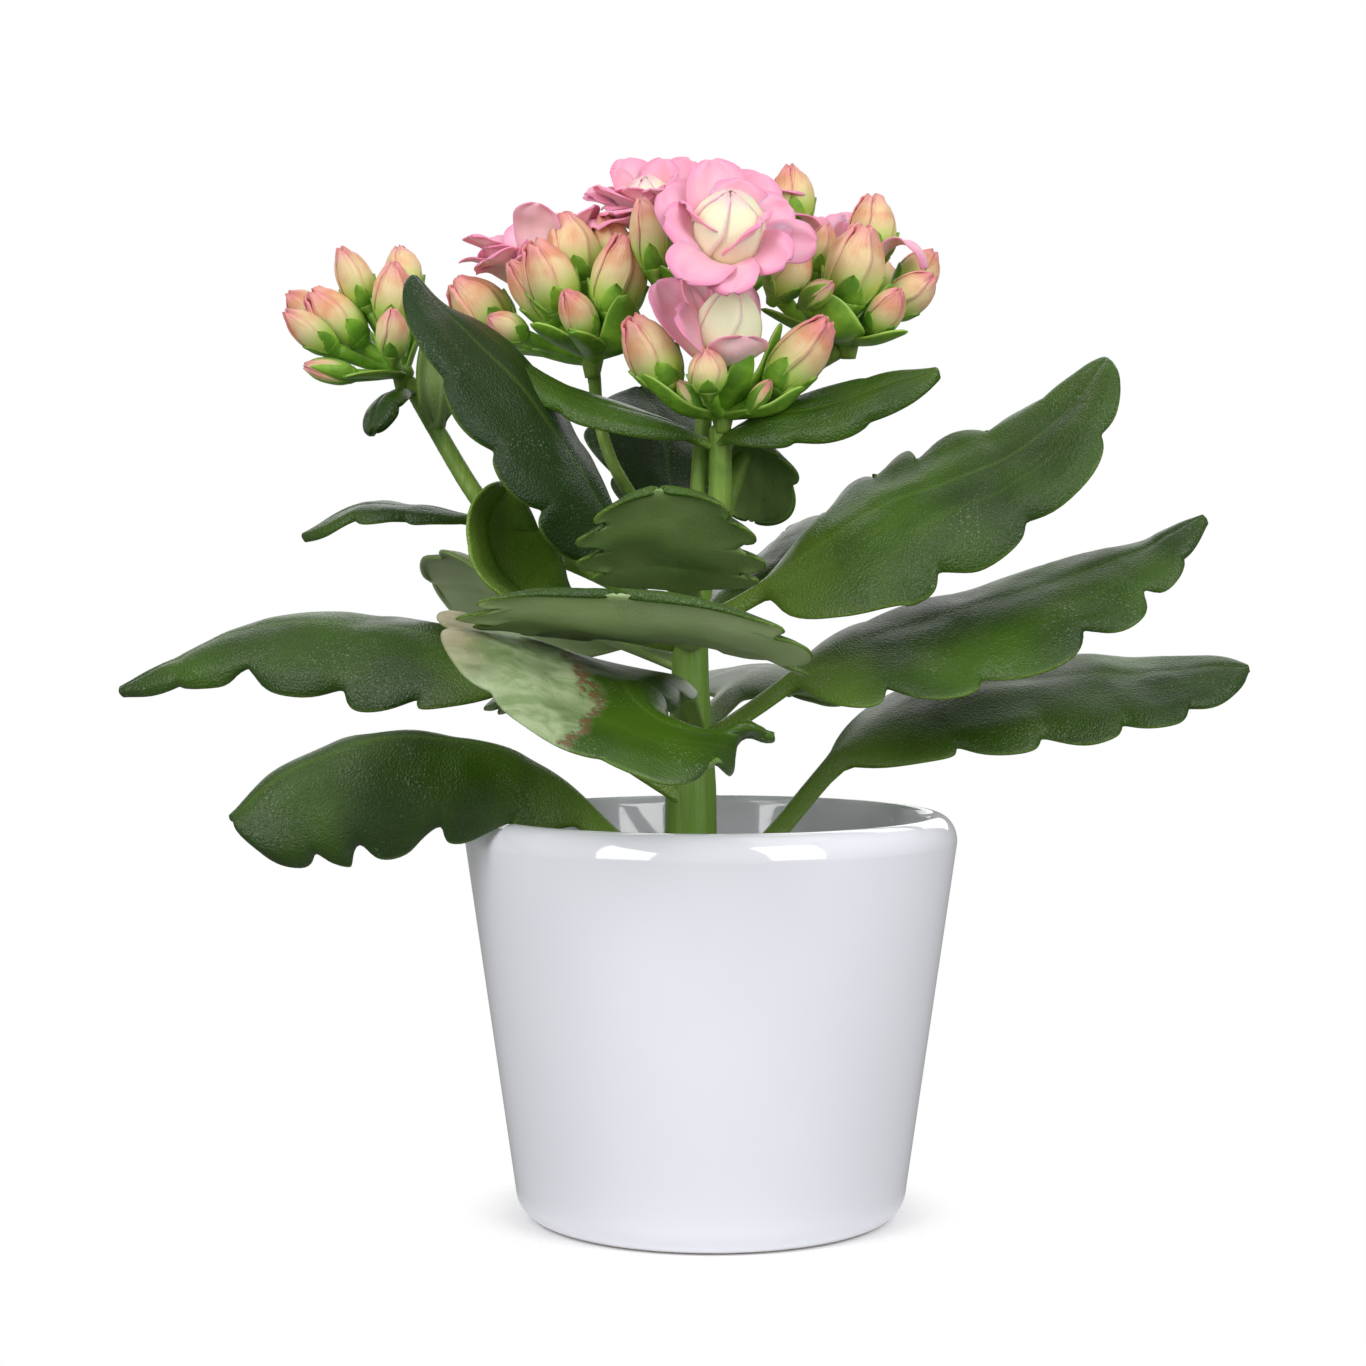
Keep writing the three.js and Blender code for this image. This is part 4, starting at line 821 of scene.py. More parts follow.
def thicken(piece, thicknesses, offset=0, smooth=1):
    """Turns a sheet into a closed blade with a thickness for each vertex, and rounds its margins.

    The second finish, if there is one, goes on the back.
    """
    most = max(thicknesses)
    group = piece.vertex_groups.new(name="thickness")
    for index, thickness in enumerate(thicknesses):
        group.add([index], thickness / most, "REPLACE")
    back = 1 if len(piece.data.materials) > 1 else 0
    apply_modifier(piece, "SOLIDIFY", thickness=most * MM, vertex_group=group.name, offset=offset,
                   thickness_vertex_group=0, material_offset=back)
    piece.vertex_groups.clear()
    if smooth:
        apply_modifier(piece, "SUBSURF", levels=smooth, render_levels=smooth)


def weld(piece):
    """Merges the doubles of a rolled sheet, then turns all its faces outwards."""
    pick(piece)
    bpy.ops.object.mode_set(mode="EDIT")
    bpy.ops.mesh.select_all(action="SELECT")
    bpy.ops.mesh.remove_doubles(threshold=WELD_DISTANCE * MM)
    bpy.ops.mesh.normals_make_consistent(inside=False)
    bpy.ops.object.mode_set(mode="OBJECT")


def join(name, pieces):
    """Joins pieces into one, smooth all over."""
    pick(*pieces)
    if len(pieces) > 1:
        bpy.ops.object.join()
    piece = bpy.context.object
    piece.name = name
    piece.data.name = name
    bpy.ops.object.shade_smooth()
    return piece


def copied(pattern, matrix):
    """A copy of a pattern piece with a mesh of its own, set in place."""
    piece = pattern.copy()
    piece.data = pattern.data.copy()
    piece.data.transform(matrix)
    bpy.context.collection.objects.link(piece)
    return piece


def discard(*pieces):
    """Removes pattern pieces and their meshes."""
    for piece in pieces:
        bpy.data.meshes.remove(piece.data)


def settle(piece, slot, *nodes):
    """Lets a finished piece stand for its solids: it hangs from the root body and the solids are hidden.
    The slot is not used.
    """
    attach(piece, "root")
    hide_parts(*nodes)


def turned(name, profile, segments):
    """Raises a closed turned body ring by ring from a disc, along a profile of radius and height."""
    deselect()
    radius, height = profile[0]
    bpy.ops.mesh.primitive_circle_add(
        vertices=segments, radius=radius * MM, fill_type="NGON", location=(0, 0, height * MM))
    piece = bpy.context.object
    piece.name = name
    bpy.ops.object.transform_apply()
    bpy.ops.object.mode_set(mode="EDIT")
    for (inner, low), (outer, high) in zip(profile, profile[1:]):
        bpy.ops.mesh.extrude_region_move(TRANSFORM_OT_translate={"value": (0, 0, (high - low) * MM)})
        share = outer / inner
        bpy.ops.transform.resize(value=(share, share, 1), center_override=(0, 0, high * MM))
    bpy.ops.mesh.select_all(action="SELECT")
    bpy.ops.mesh.normals_make_consistent(inside=False)
    bpy.ops.object.mode_set(mode="OBJECT")
    return piece


def arc(centre, radii, start, end, steps):
    """Points of a quarter circle or ellipse between two directions, given in degrees."""
    angles = [math.radians(mix(start, end, i / steps)) for i in range(steps + 1)]
    return [(centre[0] + radii[0] * math.cos(a), centre[1] + radii[1] * math.sin(a)) for a in angles]


def stalk(name, points, radii, sides, rows):
    """A round stalk along points, closed at both ends, with a radius for each point."""
    curve = Spine(points)
    first = across_axis((Vector(points[-1]) - Vector(points[0])).normalized())

    def place(across, along_sheet, row):
        s = min(max((row - 1) / (rows - 2), 0), 1)
        spot = s * (len(radii) - 1)
        low = min(int(spot), len(radii) - 2)
        radius = mix(radii[low], radii[low + 1], spot - low)
        if row in (0, rows):
            radius = 0
        tangent = curve.heading(s)
        right = square_to(first, tangent)
        angle = (across + 1) * math.pi
        return curve.at(s) + (right * math.cos(angle) + tangent.cross(right) * math.sin(angle)) * radius

    piece = sheet(name, sides, rows, place)
    weld(piece)
    return piece


LOBE_ROWS = (0.08, 0.24, 0.42, 0.58, 0.70, 0.80, 0.89, 0.96, 1)
LOBE_LEAN = 0.05
PETIOLE_ROWS = 6


def margin(petiole, notches, depth, rows):
    """One margin's points: how far along the blade, and the share of its width that a notch leaves.

    A lobe swells slowly from the notch behind it, and its round end leans over the next notch.
    A notch is its place, or its place and depth.
    """
    points = [(petiole * row / PETIOLE_ROWS, 1) for row in range(PETIOLE_ROWS)] if petiole else []
    points.append((petiole, 1))
    if not notches:
        return points + [(mix(petiole, 1, (row + 1) / rows), 1) for row in range(rows)]
    cuts = [notch if isinstance(notch, (list, tuple)) else (notch, depth) for notch in notches]
    stops = [(0, 0), *cuts, (1, 0)]
    for (start, behind), (end, ahead) in zip(stops, stops[1:]):
        for share in LOBE_ROWS:
            after = behind * max(1 - share / 0.6, 0) ** 2
            before = ahead * (1 - math.sqrt(1 - (max(share - 0.6, 0) / 0.4) ** 2))
            lean = LOBE_LEAN * math.sin(math.pi * max(share - 0.5, 0) / 0.5) if ahead else 0
            points.append((mix(petiole, 1, mix(start, end, share + lean)), 1 - after - before))
    return points


def blade(name, finishes, spine, width, up=UP, out=None, roll=0, fold=0, petiole=0,
          petiole_width=2.4, tip_width=0.6, profile=(0.8, 0.5), notches=None, depth=0.2,
          thickness=1.3, root=2.8, edge=0.7, columns=16, rows=14, height=None):
    """A leaf, bract or petal along its spine: rolled about it, its halves folded down, its margins cut."""
    curve = Spine(spine)
    chord = curve.at(1) - curve.at(0)
    heading = out if out else square_to(chord, up)
    halves, folds = both(width), both(fold)
    rise, fall = profile
    fullest = rise / (rise + fall)
    peak = fullest ** rise * (1 - fullest) ** fall

    def reach(s, side):
        t = min(max((s - petiole) / (1 - petiole), 0), 1)
        swell = halves[side] * t ** rise * (1 - t) ** fall / peak
        return math.hypot(mix(petiole_width, tip_width, t), swell)

    def surface(s, u, lobe):
        tangent = curve.heading(s)
        upper = square_to(up * tangent.dot(heading) - heading * tangent.dot(up), tangent)
        upper.rotate(Quaternion(tangent, math.radians(along(roll, s))))
        right = tangent.cross(upper)
        side = 0 if u < 0 else 1
        distance = abs(u) * reach(s, side) * (1 - u ** 4 * (1 - lobe))
        droop = math.radians(along(folds[side], s) * (0.5 + 0.5 * abs(u)))
        aside = right * math.copysign(distance * math.cos(droop), u)
        return curve.at(s) + aside - upper * (distance * math.sin(droop))

    sides = [margin(petiole, notches[side] if notches else None, depth, rows) for side in (0, 1)]
    count = len(sides[0]) - 1
    thicknesses = []

    def place(across, along_sheet, row):
        (left, left_lobe), (right, right_lobe) = sides[0][row], sides[1][row]
        s = mix(left, right, (across + 1) / 2)
        t = max((s - petiole) / (1 - petiole), 0)
        core = mix(thickness, root, (1 - t) ** 3)
        thicknesses.append(mix(core, edge, abs(across) ** 1.5))
        return surface(s, across, left_lobe if across < 0 else right_lobe)

    piece = sheet(name, columns, count, place)
    if height:
        emboss(piece, columns, count, height)
    coat(piece, *finishes)
    thicken(piece, thicknesses)
    return piece


def leaf_relief(seed):
    """Height of a leaf's surface: a groove on the midrib, soft swellings and margins that curl under."""
    shift = Vector((seed * 17.3, seed * 5.1, seed * 9.7))

    def height(across, along_sheet, point):
        groove = -0.5 * math.exp(-(across / 0.09) ** 2) * step(along_sheet, 0.1, 0.3)
        swell = noise.noise(point * 0.06 + shift) * 1.5 + noise.noise(point * 0.17 + shift) * 0.6
        swell += noise.noise(point * 0.45 + shift) * 0.14
        curl = -1.1 * step(abs(across), 0.72, 1.0)
        return groove + (swell + curl) * step(along_sheet, 0.12, 0.4)

    return height


LEAF_FINISHES = {
    "front_low": ("scarred", "underside"),
    # front_high's underside is painted pale for front light and sheen as well as wax
    "front_high": ("leaf", "wax_and_painted_light_underside"),
    # painted shade: tall_left is painted darker for the shade of the heads
    "tall_left": ("painted_shade_leaf", "underside"),
    # painted light: cupped_left's bright green also stands for light shining through the leaf
    "cupped_left": ("young_leaf_painted_light", "young_leaf_painted_light"),
    "back_left": ("wax_and_painted_light_underside", "wax_and_painted_light_underside"),
    # painted shade on both sides of back_tall, for the shade of the heads
    "back_tall": ("painted_shade_leaf", "painted_shade_leaf"),
}


# Buds: heights are shares of a bud's length

BUD_LENGTH = 10
BUD_RADIUS = 3.5
BUD_FULLEST = 0.44
SEPAL_TIP = 0.46
CALYX_CUP = [(-0.26, 0), (-0.26, 0.9), (-0.14, 1.4), (-0.04, 2.2), (0.04, 2.9), (0.10, 3.0), (0.12, 0)]


def bud_share(height):
    """The radius of a bud at a height, as a share of its full radius."""
    height = min(max(height, 0), 1)
    if height < BUD_FULLEST:
        return (1 - ((BUD_FULLEST - height) / 0.5) ** 2.4) ** 0.6
    return (1 - ((height - BUD_FULLEST) / (1 - BUD_FULLEST)) ** 2.6) ** 0.64


def bud_skin(name, petals, parting=0.0, twist=42, skin="bud"):
    """A bud's outer petals, each with one margin over its neighbour, pinched into a frilled tip."""
    made = []
    for number in range(petals):
        turn = 360 * number / petals
        rng = random.Random(7 * number + petals)
        phase = rng.uniform(0, math.tau)

        def place(across, along_sheet, row):
            height = mix(0.02, 1.03, along_sheet)
            throat = mix(0.05, 0.34, parting)
            share = max(bud_share(height), throat * step(height, 0.5, 1))
            lap = 0.16 * (across + 1) / 2
            flare = (0.07 + 0.14 * parting) * step(height, 0.76, 1.03) * (0.5 + across)
            frill = 0.08 * step(height, 0.8, 1.03) * math.sin(5 * across + phase)
            radius = (share + lap * (0.25 + 0.75 * share) + flare + frill) * BUD_RADIUS
            span = mix(0.86, 0.62, step(height, 0.6, 1)) * 360 / petals
            angle = math.radians(turn + across * span + twist * height ** 1.3)
            lift = 0.05 * math.cos(across * 2.2) * step(height, 0.8, 1.03)
            return polar(radius, angle, (height + lift) * BUD_LENGTH)

        piece = sheet(f"{name}_petal", 12, 12, place)
        coat(piece, skin)
        thicken(piece, [0.26] * len(piece.data.vertices), offset=-1, smooth=0)
        made.append(piece)

    def core(across, along_sheet, row):
        height = mix(0.0, mix(0.99, 0.86, parting), along_sheet)
        radius = bud_share(height) * 0.93 * BUD_RADIUS if 0 < along_sheet < 1 else 0
        angle = (across + 1) * math.pi
        return polar(radius, angle, height * BUD_LENGTH)

    heart = sheet(f"{name}_core", 12, 8, core)
    weld(heart)
    coat(heart, skin)
    return join(name, [*made, heart])


def calyx(name, tip=SEPAL_TIP):
    """Four pointed sepals that grow from a cup at the bud's foot, up to a share of its length."""
    made = []
    for number in range(4):
        def place(across, along_sheet, row):
            height = mix(-0.02, tip, along_sheet)
            span = max(46 * (1 - along_sheet ** 1.8) ** 0.8, 1.5)
            radius = bud_share(max(height, 0)) * BUD_RADIUS * 1.03 + 0.5 + 0.3 * step(along_sheet, 0.7, 1)
            radius -= 0.3 * abs(across) ** 2 * step(along_sheet, 0.2, 0.6)
            angle = math.radians(90 * number + across * span)
            return polar(radius, angle, height * BUD_LENGTH)

        piece = sheet(f"{name}_sepal", 6, 9, place)
        coat(piece, "bract")
        thicken(piece, [0.5] * len(piece.data.vertices), offset=-1, smooth=0)
        made.append(piece)

    def cup(across, along_sheet, row):
        height, radius = CALYX_CUP[row]
        angle = (across + 1) * math.pi
        return polar(radius, angle, height * BUD_LENGTH)

    base = sheet(f"{name}_cup", 16, len(CALYX_CUP) - 1, cup)
    weld(base)
    coat(base, "bract")
    return join(name, [*made, base])


def bud_place(foot, tip, radius, turn=0):
    """The matrix that sets a bud of the pattern's size between its foot and tip."""
    axis = tip - foot
    size = axis.length
    axis.normalize()
    first = across_axis(axis)
    second = axis.cross(first)
    wide = radius / BUD_RADIUS
    basis = Matrix((first * wide, second * wide, axis * (size / BUD_LENGTH))).transposed().to_4x4()
    return Matrix.Translation(foot * MM) @ basis @ Matrix.Rotation(math.radians(turn), 4, "Z")


PEDICEL_BEND = 0.12
BLOOM_SEAT = 1


def pedicel(hub, end, axis, radius):
    """A slender stalk from the head's hub that bends to end along the flower's axis."""
    start = Vector(hub)
    bend = (start + end) / 2 - axis * (PEDICEL_BEND * (end - start).length)
    piece = stalk("pedicel", [start, bend, end], [radius, radius, radius * 1.5], 8, 10)
    coat(piece, "bract")
    return piece


def petal(spine, width, fold=-18, **aim):
    """One open petal, thin and slightly cupped, with a short point and waved margins."""
    seed = Vector(spine[0]) * 0.37

    def height(across, along_sheet, point):
        wave = noise.noise(point * 0.32 + seed) * 0.95 * step(along_sheet, 0.25, 0.8)
        curl = 0.9 * step(abs(across), 0.6, 1.0) * step(along_sheet, 0.35, 0.8)
        return wave - curl

    return blade("petal", ["petal", "petal_back"], spine, width, fold=fold, petiole_width=1.4,
                 tip_width=0.5, profile=(0.6, 0.4), thickness=0.42, root=0.9, edge=0.34, columns=10,
                 rows=12, height=height, **aim)


PETAL_ROOT_RADIUS = 2.2
PETAL_LINKS = 4
PETAL_TWIST = 14


def bloom_petal(foot, out, azimuth, length, width, opening, curl, twist=PETAL_TWIST):
    """One petal of a bloom, whose angle from the bloom's axis grows from root to tip."""
    radial = square_to(UP, out)
    radial.rotate(Quaternion(out, math.radians(azimuth)))
    place = foot + radial * PETAL_ROOT_RADIUS
    spine = [place.copy()]
    for link in range(PETAL_LINKS):
        angle = math.radians(opening + curl * (link + 0.5) / PETAL_LINKS)
        place += (out * math.cos(angle) + radial * math.sin(angle)) * (length / PETAL_LINKS)
        spine.append(place.copy())
    return petal(spine, width, up=out, out=radial, roll=twist)


# What a user would change

class KalanchoeColours(bpy.types.PropertyGroup):
    """Colours of the plant and its pots."""

    glaze: tint("F0F1F8", "Glaze", "White glaze of the cover pot")
    glaze_shade: tint("E3E5F0", "Glaze shade", "Cooler white where the glaze lies thick")
    bisque: tint("CFC8BC", "Bisque", "Unglazed foot of the cover pot")
    plastic: tint("151617", "Plastic", "Black plastic of the nursery pot")
    dust: tint("5A544C", "Dust", "Dust and water marks on the plastic")
    peat: tint("3F2C1E", "Peat", "Drier crumbs of the soil")
    peat_dark: tint("1C130D", "Damp peat", "Damp crumbs of the soil")
    fibre: tint("7A5C3C", "Fibres", "Fibres in the soil")
    stalk: tint("6A8E34", "Stalk", "Main green of the stems")
    stalk_light: tint("94B34C", "Light stalk", "Lighter green of the stems")
    # Used in the grooves, and more and more towards the foot of the stems
    stalk_dark: tint("527122", "Dark stalk", "Grooves along the stems")
    scar: tint("6B4630", "Scar", "Healed scars")
    leaf_dark: tint("1B3408", "Dark leaf", "Darkest green of a leaf's upper side")
    # Painted shade: the darker green of the leaves that stand in the shade of the heads
    leaf_painted_shade: tint("1A340B", "Deep leaf", "Green of the leaves in the shade")
    leaf_light: tint("41620A", "Light leaf", "Lighter green of a leaf's upper side")
    leaf_edge: tint("7A9A3A", "Leaf margin", "Pale margin, midrib and petiole")
    # Partly painted light: pale grains for wax and for the glints that the leaves catch
    wax_and_glint: tint("A3AC96", "Wax", "Grains of wax on the leaves")
    under_dark: tint("5C7A3C", "Dark underside", "Darker green of a leaf's underside")
    under_light: tint("88A062", "Light underside", "Lighter green of a leaf's underside")
    # Partly painted light: thick wax, and the front light and sheen on undersides that face the lamps
    under_wax_and_painted_light: tint("A9B98C", "Pale underside", "Underside where the wax lies thick")
    flank: tint("7C9262", "Rubbed flank", "Rubbed side of the lowest front leaf")
    flank_light: tint("9FAE86", "Light flank", "Palest parts of the rubbed side")
    flank_blush: tint("A48672", "Flank blush", "Brownish pink at the top of the rubbed side")
    calyx: tint("8ABA38", "Calyx", "Green of sepals and bracts")
    calyx_dark: tint("5F9026", "Dark calyx", "Darker green of sepals and bracts")
    calyx_light: tint("B4D266", "Calyx rim", "Pale rim of sepals and bracts")
    bud_cream: tint("EDDDA8", "Bud cream", "Cream body of a closed bud")
    bud_foot: tint("A8C653", "Bud foot", "Yellow green at a bud's foot")
    bud_blush: tint("DC8C6A", "Bud blush", "Salmon blush on a bud")
    bud_vein: tint("B4683F", "Bud veins", "Brownish streaks in the blush")
    bud_rim: tint("E8839A", "Bud rim", "Pink margins and tip of a bud")
    heart_cream: tint("F3ECC8", "Heart cream", "Cream of a bloom's closed heart")
    heart_foot: tint("D9DE9C", "Heart foot", "Yellow green at the foot of a heart")
    petal: tint("F0A8C4", "Petal", "Pink of the petals")
    petal_pale: tint("F9D2DC", "Pale petal", "Paler pink patches")
    petal_claw: tint("F6E2CC", "Petal root", "Cream at a petal's root")
    petal_rim: tint("E57CA9", "Petal rim", "Deeper pink of margins and veins")
    petal_back: tint("F5C2CC", "Petal back", "Outer side of a petal")
    floor: tint("FFFFFF", "Floor", "Floor and backdrop")


class KalanchoePots(bpy.types.PropertyGroup):
    """Sizes of the cover pot, the nursery pot in it and the soil, in millimetres."""

    lip_crest_radius: length(35.7, "Lip crest radius", "Radius of the cover pot's highest line")
    lip_depth: length(4.2, "Lip depth", "Height of the cover pot's rounded lip")
    foot_radius: length(31.1, "Foot radius", "Radius of the cover pot above its rounded foot")
    foot_fillet: length(4.5, "Foot rounding", "Radius of the cover pot's rounded foot")
    foot_ring: length(3.4, "Foot ring", "Width of the ring that the cover pot stands on")
    foot_recess: length(0.6, "Foot recess", "Depth of the hollow within the foot ring")
    floor: length(4.3, "Pot floor", "Thickness of the cover pot's floor")
    mouth_radius: length(34.6, "Mouth radius", "Inner radius just below the lip")
    well_radius: length(28, "Well radius", "Inner radius just above the floor")
    well_fillet: length(3.4, "Well rounding", "Radius between the inner wall and the floor")
    nursery_foot: length(24, "Nursery pot foot", "Radius of the nursery pot's foot")
    nursery_rim: length(30.4, "Nursery pot rim", "Radius of the nursery pot below its flange")
    nursery_flange: length(1.8, "Flange", "How far the nursery pot's flange stands out")
    flange_thickness: length(1.4, "Flange thickness", "Height of the nursery pot's flange")
    nursery_wall: length(1, "Nursery pot wall", "Thickness of the nursery pot's wall")
    drain_radius: length(2.2, "Drain hole radius", "Radius of each drain hole")
    drain_circle: length(15, "Drain hole circle", "Radius of the circle of drain holes")
    soil_edge: length(49.4, "Soil level", "Height of the soil at its edge")
    soil_crown: length(1.6, "Soil crown", "How far the soil rises to its middle")


# Operators

class KALANCHOE_OT_cover_pot(bpy.types.Operator):
    """Turns the glazed cover pot"""

    bl_idname = "kalanchoe.cover_pot"
    bl_label = "Cover pot"

    segments = 128
    # Height of the lip's inner curve, as a multiple of its width
    mouth_drop = 1.6

    def execute(self, context):
        size = context.scene.kalanchoe_pots
        height = node_size("cachepot", "z", 1)
        radius = node_size("cachepot", "x", 1)
        lip = radius - size.lip_crest_radius
        lip_z = height - size.lip_depth
        toe = size.foot_radius - size.foot_fillet
        edge = size.foot_recess
        mouth = size.lip_crest_radius - size.mouth_radius
        drop = self.mouth_drop * mouth
        corner = (size.well_radius - size.well_fillet, size.floor + size.well_fillet)
        profile = [
            (toe - size.foot_ring - edge, size.foot_recess),
            *arc((toe - size.foot_ring, size.foot_recess), (edge, edge), 180, 270, 3)[1:],
            *arc((toe, size.foot_fillet), (size.foot_fillet, size.foot_fillet), -90, 0, 10),
            *arc((size.lip_crest_radius, lip_z), (lip, size.lip_depth), 0, 90, 16),
            *arc((size.lip_crest_radius, height - drop), (mouth, drop), 90, 180, 6)[1:],
            *arc(corner, (size.well_fillet, size.well_fillet), 0, -90, 6),
        ]
        pot = turned("glazed_pot", profile, self.segments)
        coat(pot, "glaze")
        pick(pot)
        bpy.ops.object.shade_smooth_by_angle(angle=SMOOTH_ANGLE)
        settle(pot, "cachepot", "cachepot")
        return {"FINISHED"}


class KALANCHOE_OT_nursery_pot(bpy.types.Operator):
    """Turns the thin plastic nursery pot and cuts its drain holes"""

    bl_idname = "kalanchoe.nursery_pot"
    bl_label = "Nursery pot"

    # Rounding of the foot and of the flange, and the drain holes
    corner = 1
    edge = 0.3
    drains = 4
    drill_depth = 6

    def execute(self, context):
        size = context.scene.kalanchoe_pots
        low = node_size("nursery_pot", "z", 0)
        rim = node_size("nursery_pot", "z", 1)
        wall = size.nursery_wall
        under = rim - size.flange_thickness
        flange = size.nursery_rim + size.nursery_flange
        foot = size.nursery_foot
        inner = size.nursery_rim - wall
        corner, edge = self.corner, self.edge
        profile = [
            (foot - corner, low), (foot - edge, low + edge), (foot, low + corner),
            (size.nursery_rim, under), (flange - edge, under), (flange, under + edge),
            (flange, rim - edge), (flange - edge, rim), (inner + edge, rim), (inner, rim - edge),
            (foot - wall, low + wall + corner), (foot - wall - corner, low + wall),
        ]
        pot = turned("plastic_pot", profile, POT_SEGMENTS)
        drills = []
        for number in range(self.drains):
            spot = polar(size.drain_circle, math.tau * (number + 0.5) / self.drains, low)
            deselect()
            bpy.ops.mesh.primitive_cylinder_add(
                vertices=24, radius=size.drain_radius * MM, depth=self.drill_depth * MM,
                location=spot * MM)
            drills.append(bpy.context.object)
        drill = join("drill", drills)
        apply_modifier(pot, "BOOLEAN", operation="DIFFERENCE", object=drill, solver="EXACT")
        discard(drill)
        coat(pot, "plastic")
        pick(pot)
        bpy.ops.object.shade_smooth_by_angle(angle=SMOOTH_ANGLE)
        settle(pot, "nursery_pot", "nursery_pot")
        return {"FINISHED"}


class KALANCHOE_OT_soil(bpy.types.Operator):
    """Fills the nursery pot with peat, uneven on top and strewn with crumbs"""

    bl_idname = "kalanchoe.soil"
    bl_label = "Soil"

    rings = 22
    crumbs = 260
    # Room at the pot's wall, the slanted foot, the even rim, and the hole that the stem stands in
    play = 0.6
    corner = (1, 1.2)
    flat_rim = 2.5
    hole = [[-3, 0.5, 36.6], [-3.2, 0.2, 45], [-3.2, 0, 60]]
    hole_radius = 4.8
    stem_foot = Vector((-3.1, 0.3, 0))
    stem_clear = 6

    def execute(self, context):
        size = context.scene.kalanchoe_pots
        low = node_size("soil", "z", 0)
        foot = -node_size("soil", "x", 0)
        base = size.nursery_foot - size.nursery_wall - self.play
        edge = size.soil_edge

        def level(radius):
            return edge + size.soil_crown * (1 - (radius / foot) ** 2)

        radii = [foot * (1 - ring / self.rings) for ring in range(self.rings)]
        aside, rise = self.corner
        profile = [(base - aside, low), (base, low + rise), *((r, level(r)) for r in radii)]
        soil = turned("peat", profile, POT_SEGMENTS)
        for vertex in soil.data.vertices:
            point = vertex.co / MM
            if point.z > edge - 0.1:
                share = step(math.hypot(point.x, point.y), foot, foot - self.flat_rim)
                bump = noise.noise(point * 0.28) * 0.9 + noise.noise(point * 0.8) * 0.45
                vertex.co.z += bump * share * MM
        hole = stalk("hole", self.hole, [self.hole_radius] * 3, 20, 8)
        apply_modifier(soil, "BOOLEAN", operation="DIFFERENCE", object=hole, solver="EXACT")
        discard(hole)
        coat(soil, "soil")
        rng = random.Random(11)
        deselect()
        bpy.ops.mesh.primitive_ico_sphere_add(subdivisions=1, radius=MM)
        pattern = bpy.context.object
        coat(pattern, "soil")
        made = [soil]
        while len(made) <= self.crumbs:
            angle = rng.uniform(0, math.tau)
            radius = (foot - 1.4) * math.sqrt(rng.random())
            spot = polar(radius, angle)
            if (spot - self.stem_foot).length < self.stem_clear:
                continue
            spot.z = level(radius) + rng.uniform(-0.1, 0.3)
            scale = rng.uniform(0.35, 1.1)
            axis = Vector((rng.uniform(-1, 1), rng.uniform(-1, 1), 1)).normalized()
            turn = Quaternion(axis, rng.uniform(0, math.tau)).to_matrix().to_4x4()
            wide, high = scale * rng.uniform(0.7, 1.4), scale * rng.uniform(0.5, 0.9)
            stretch = Matrix.Diagonal((wide, scale, high, 1))
            made.append(copied(pattern, Matrix.Translation(spot * MM) @ turn @ stretch))
        discard(pattern)
        settle(join("peat", made), "soil", "soil")
        return {"FINISHED"}


class KALANCHOE_OT_stem(bpy.types.Operator):
    """Grows the main stem and the stalks of the heads as one body"""

    bl_idname = "kalanchoe.stem"
    bl_label = "Stem"

    # Fineness of the mesh that melts the limbs together
    voxel = 0.5

    def execute(self, context):
        stem = join("stalks", [stalk("limb", points, radii, 24, 40) for points, radii in STEM_LIMBS])
        apply_modifier(stem, "REMESH", mode="VOXEL", voxel_size=self.voxel * MM)
        apply_modifier(stem, "SMOOTH", factor=0.5, iterations=6)
        coat(stem, "stem")
        settle(join("stalks", [stem]), "stem", "stem")
        return {"FINISHED"}


class KALANCHOE_OT_leaves(bpy.types.Operator):
    """Grows every leaf along its spine, with scalloped margins and two finishes"""

    bl_idname = "kalanchoe.leaves"
    bl_label = "Leaves"

    def execute(self, context):
        for seed, (name, shape) in enumerate(LEAVES.items()):
            upper, under = LEAF_FINISHES.get(name, ("leaf", "underside"))
            leaf = blade(name, [upper, under], height=leaf_relief(seed), **shape)
            settle(join(f"{name}_leaf", [leaf]), "leaf", f"leaf_{name}")
        return {"FINISHED"}


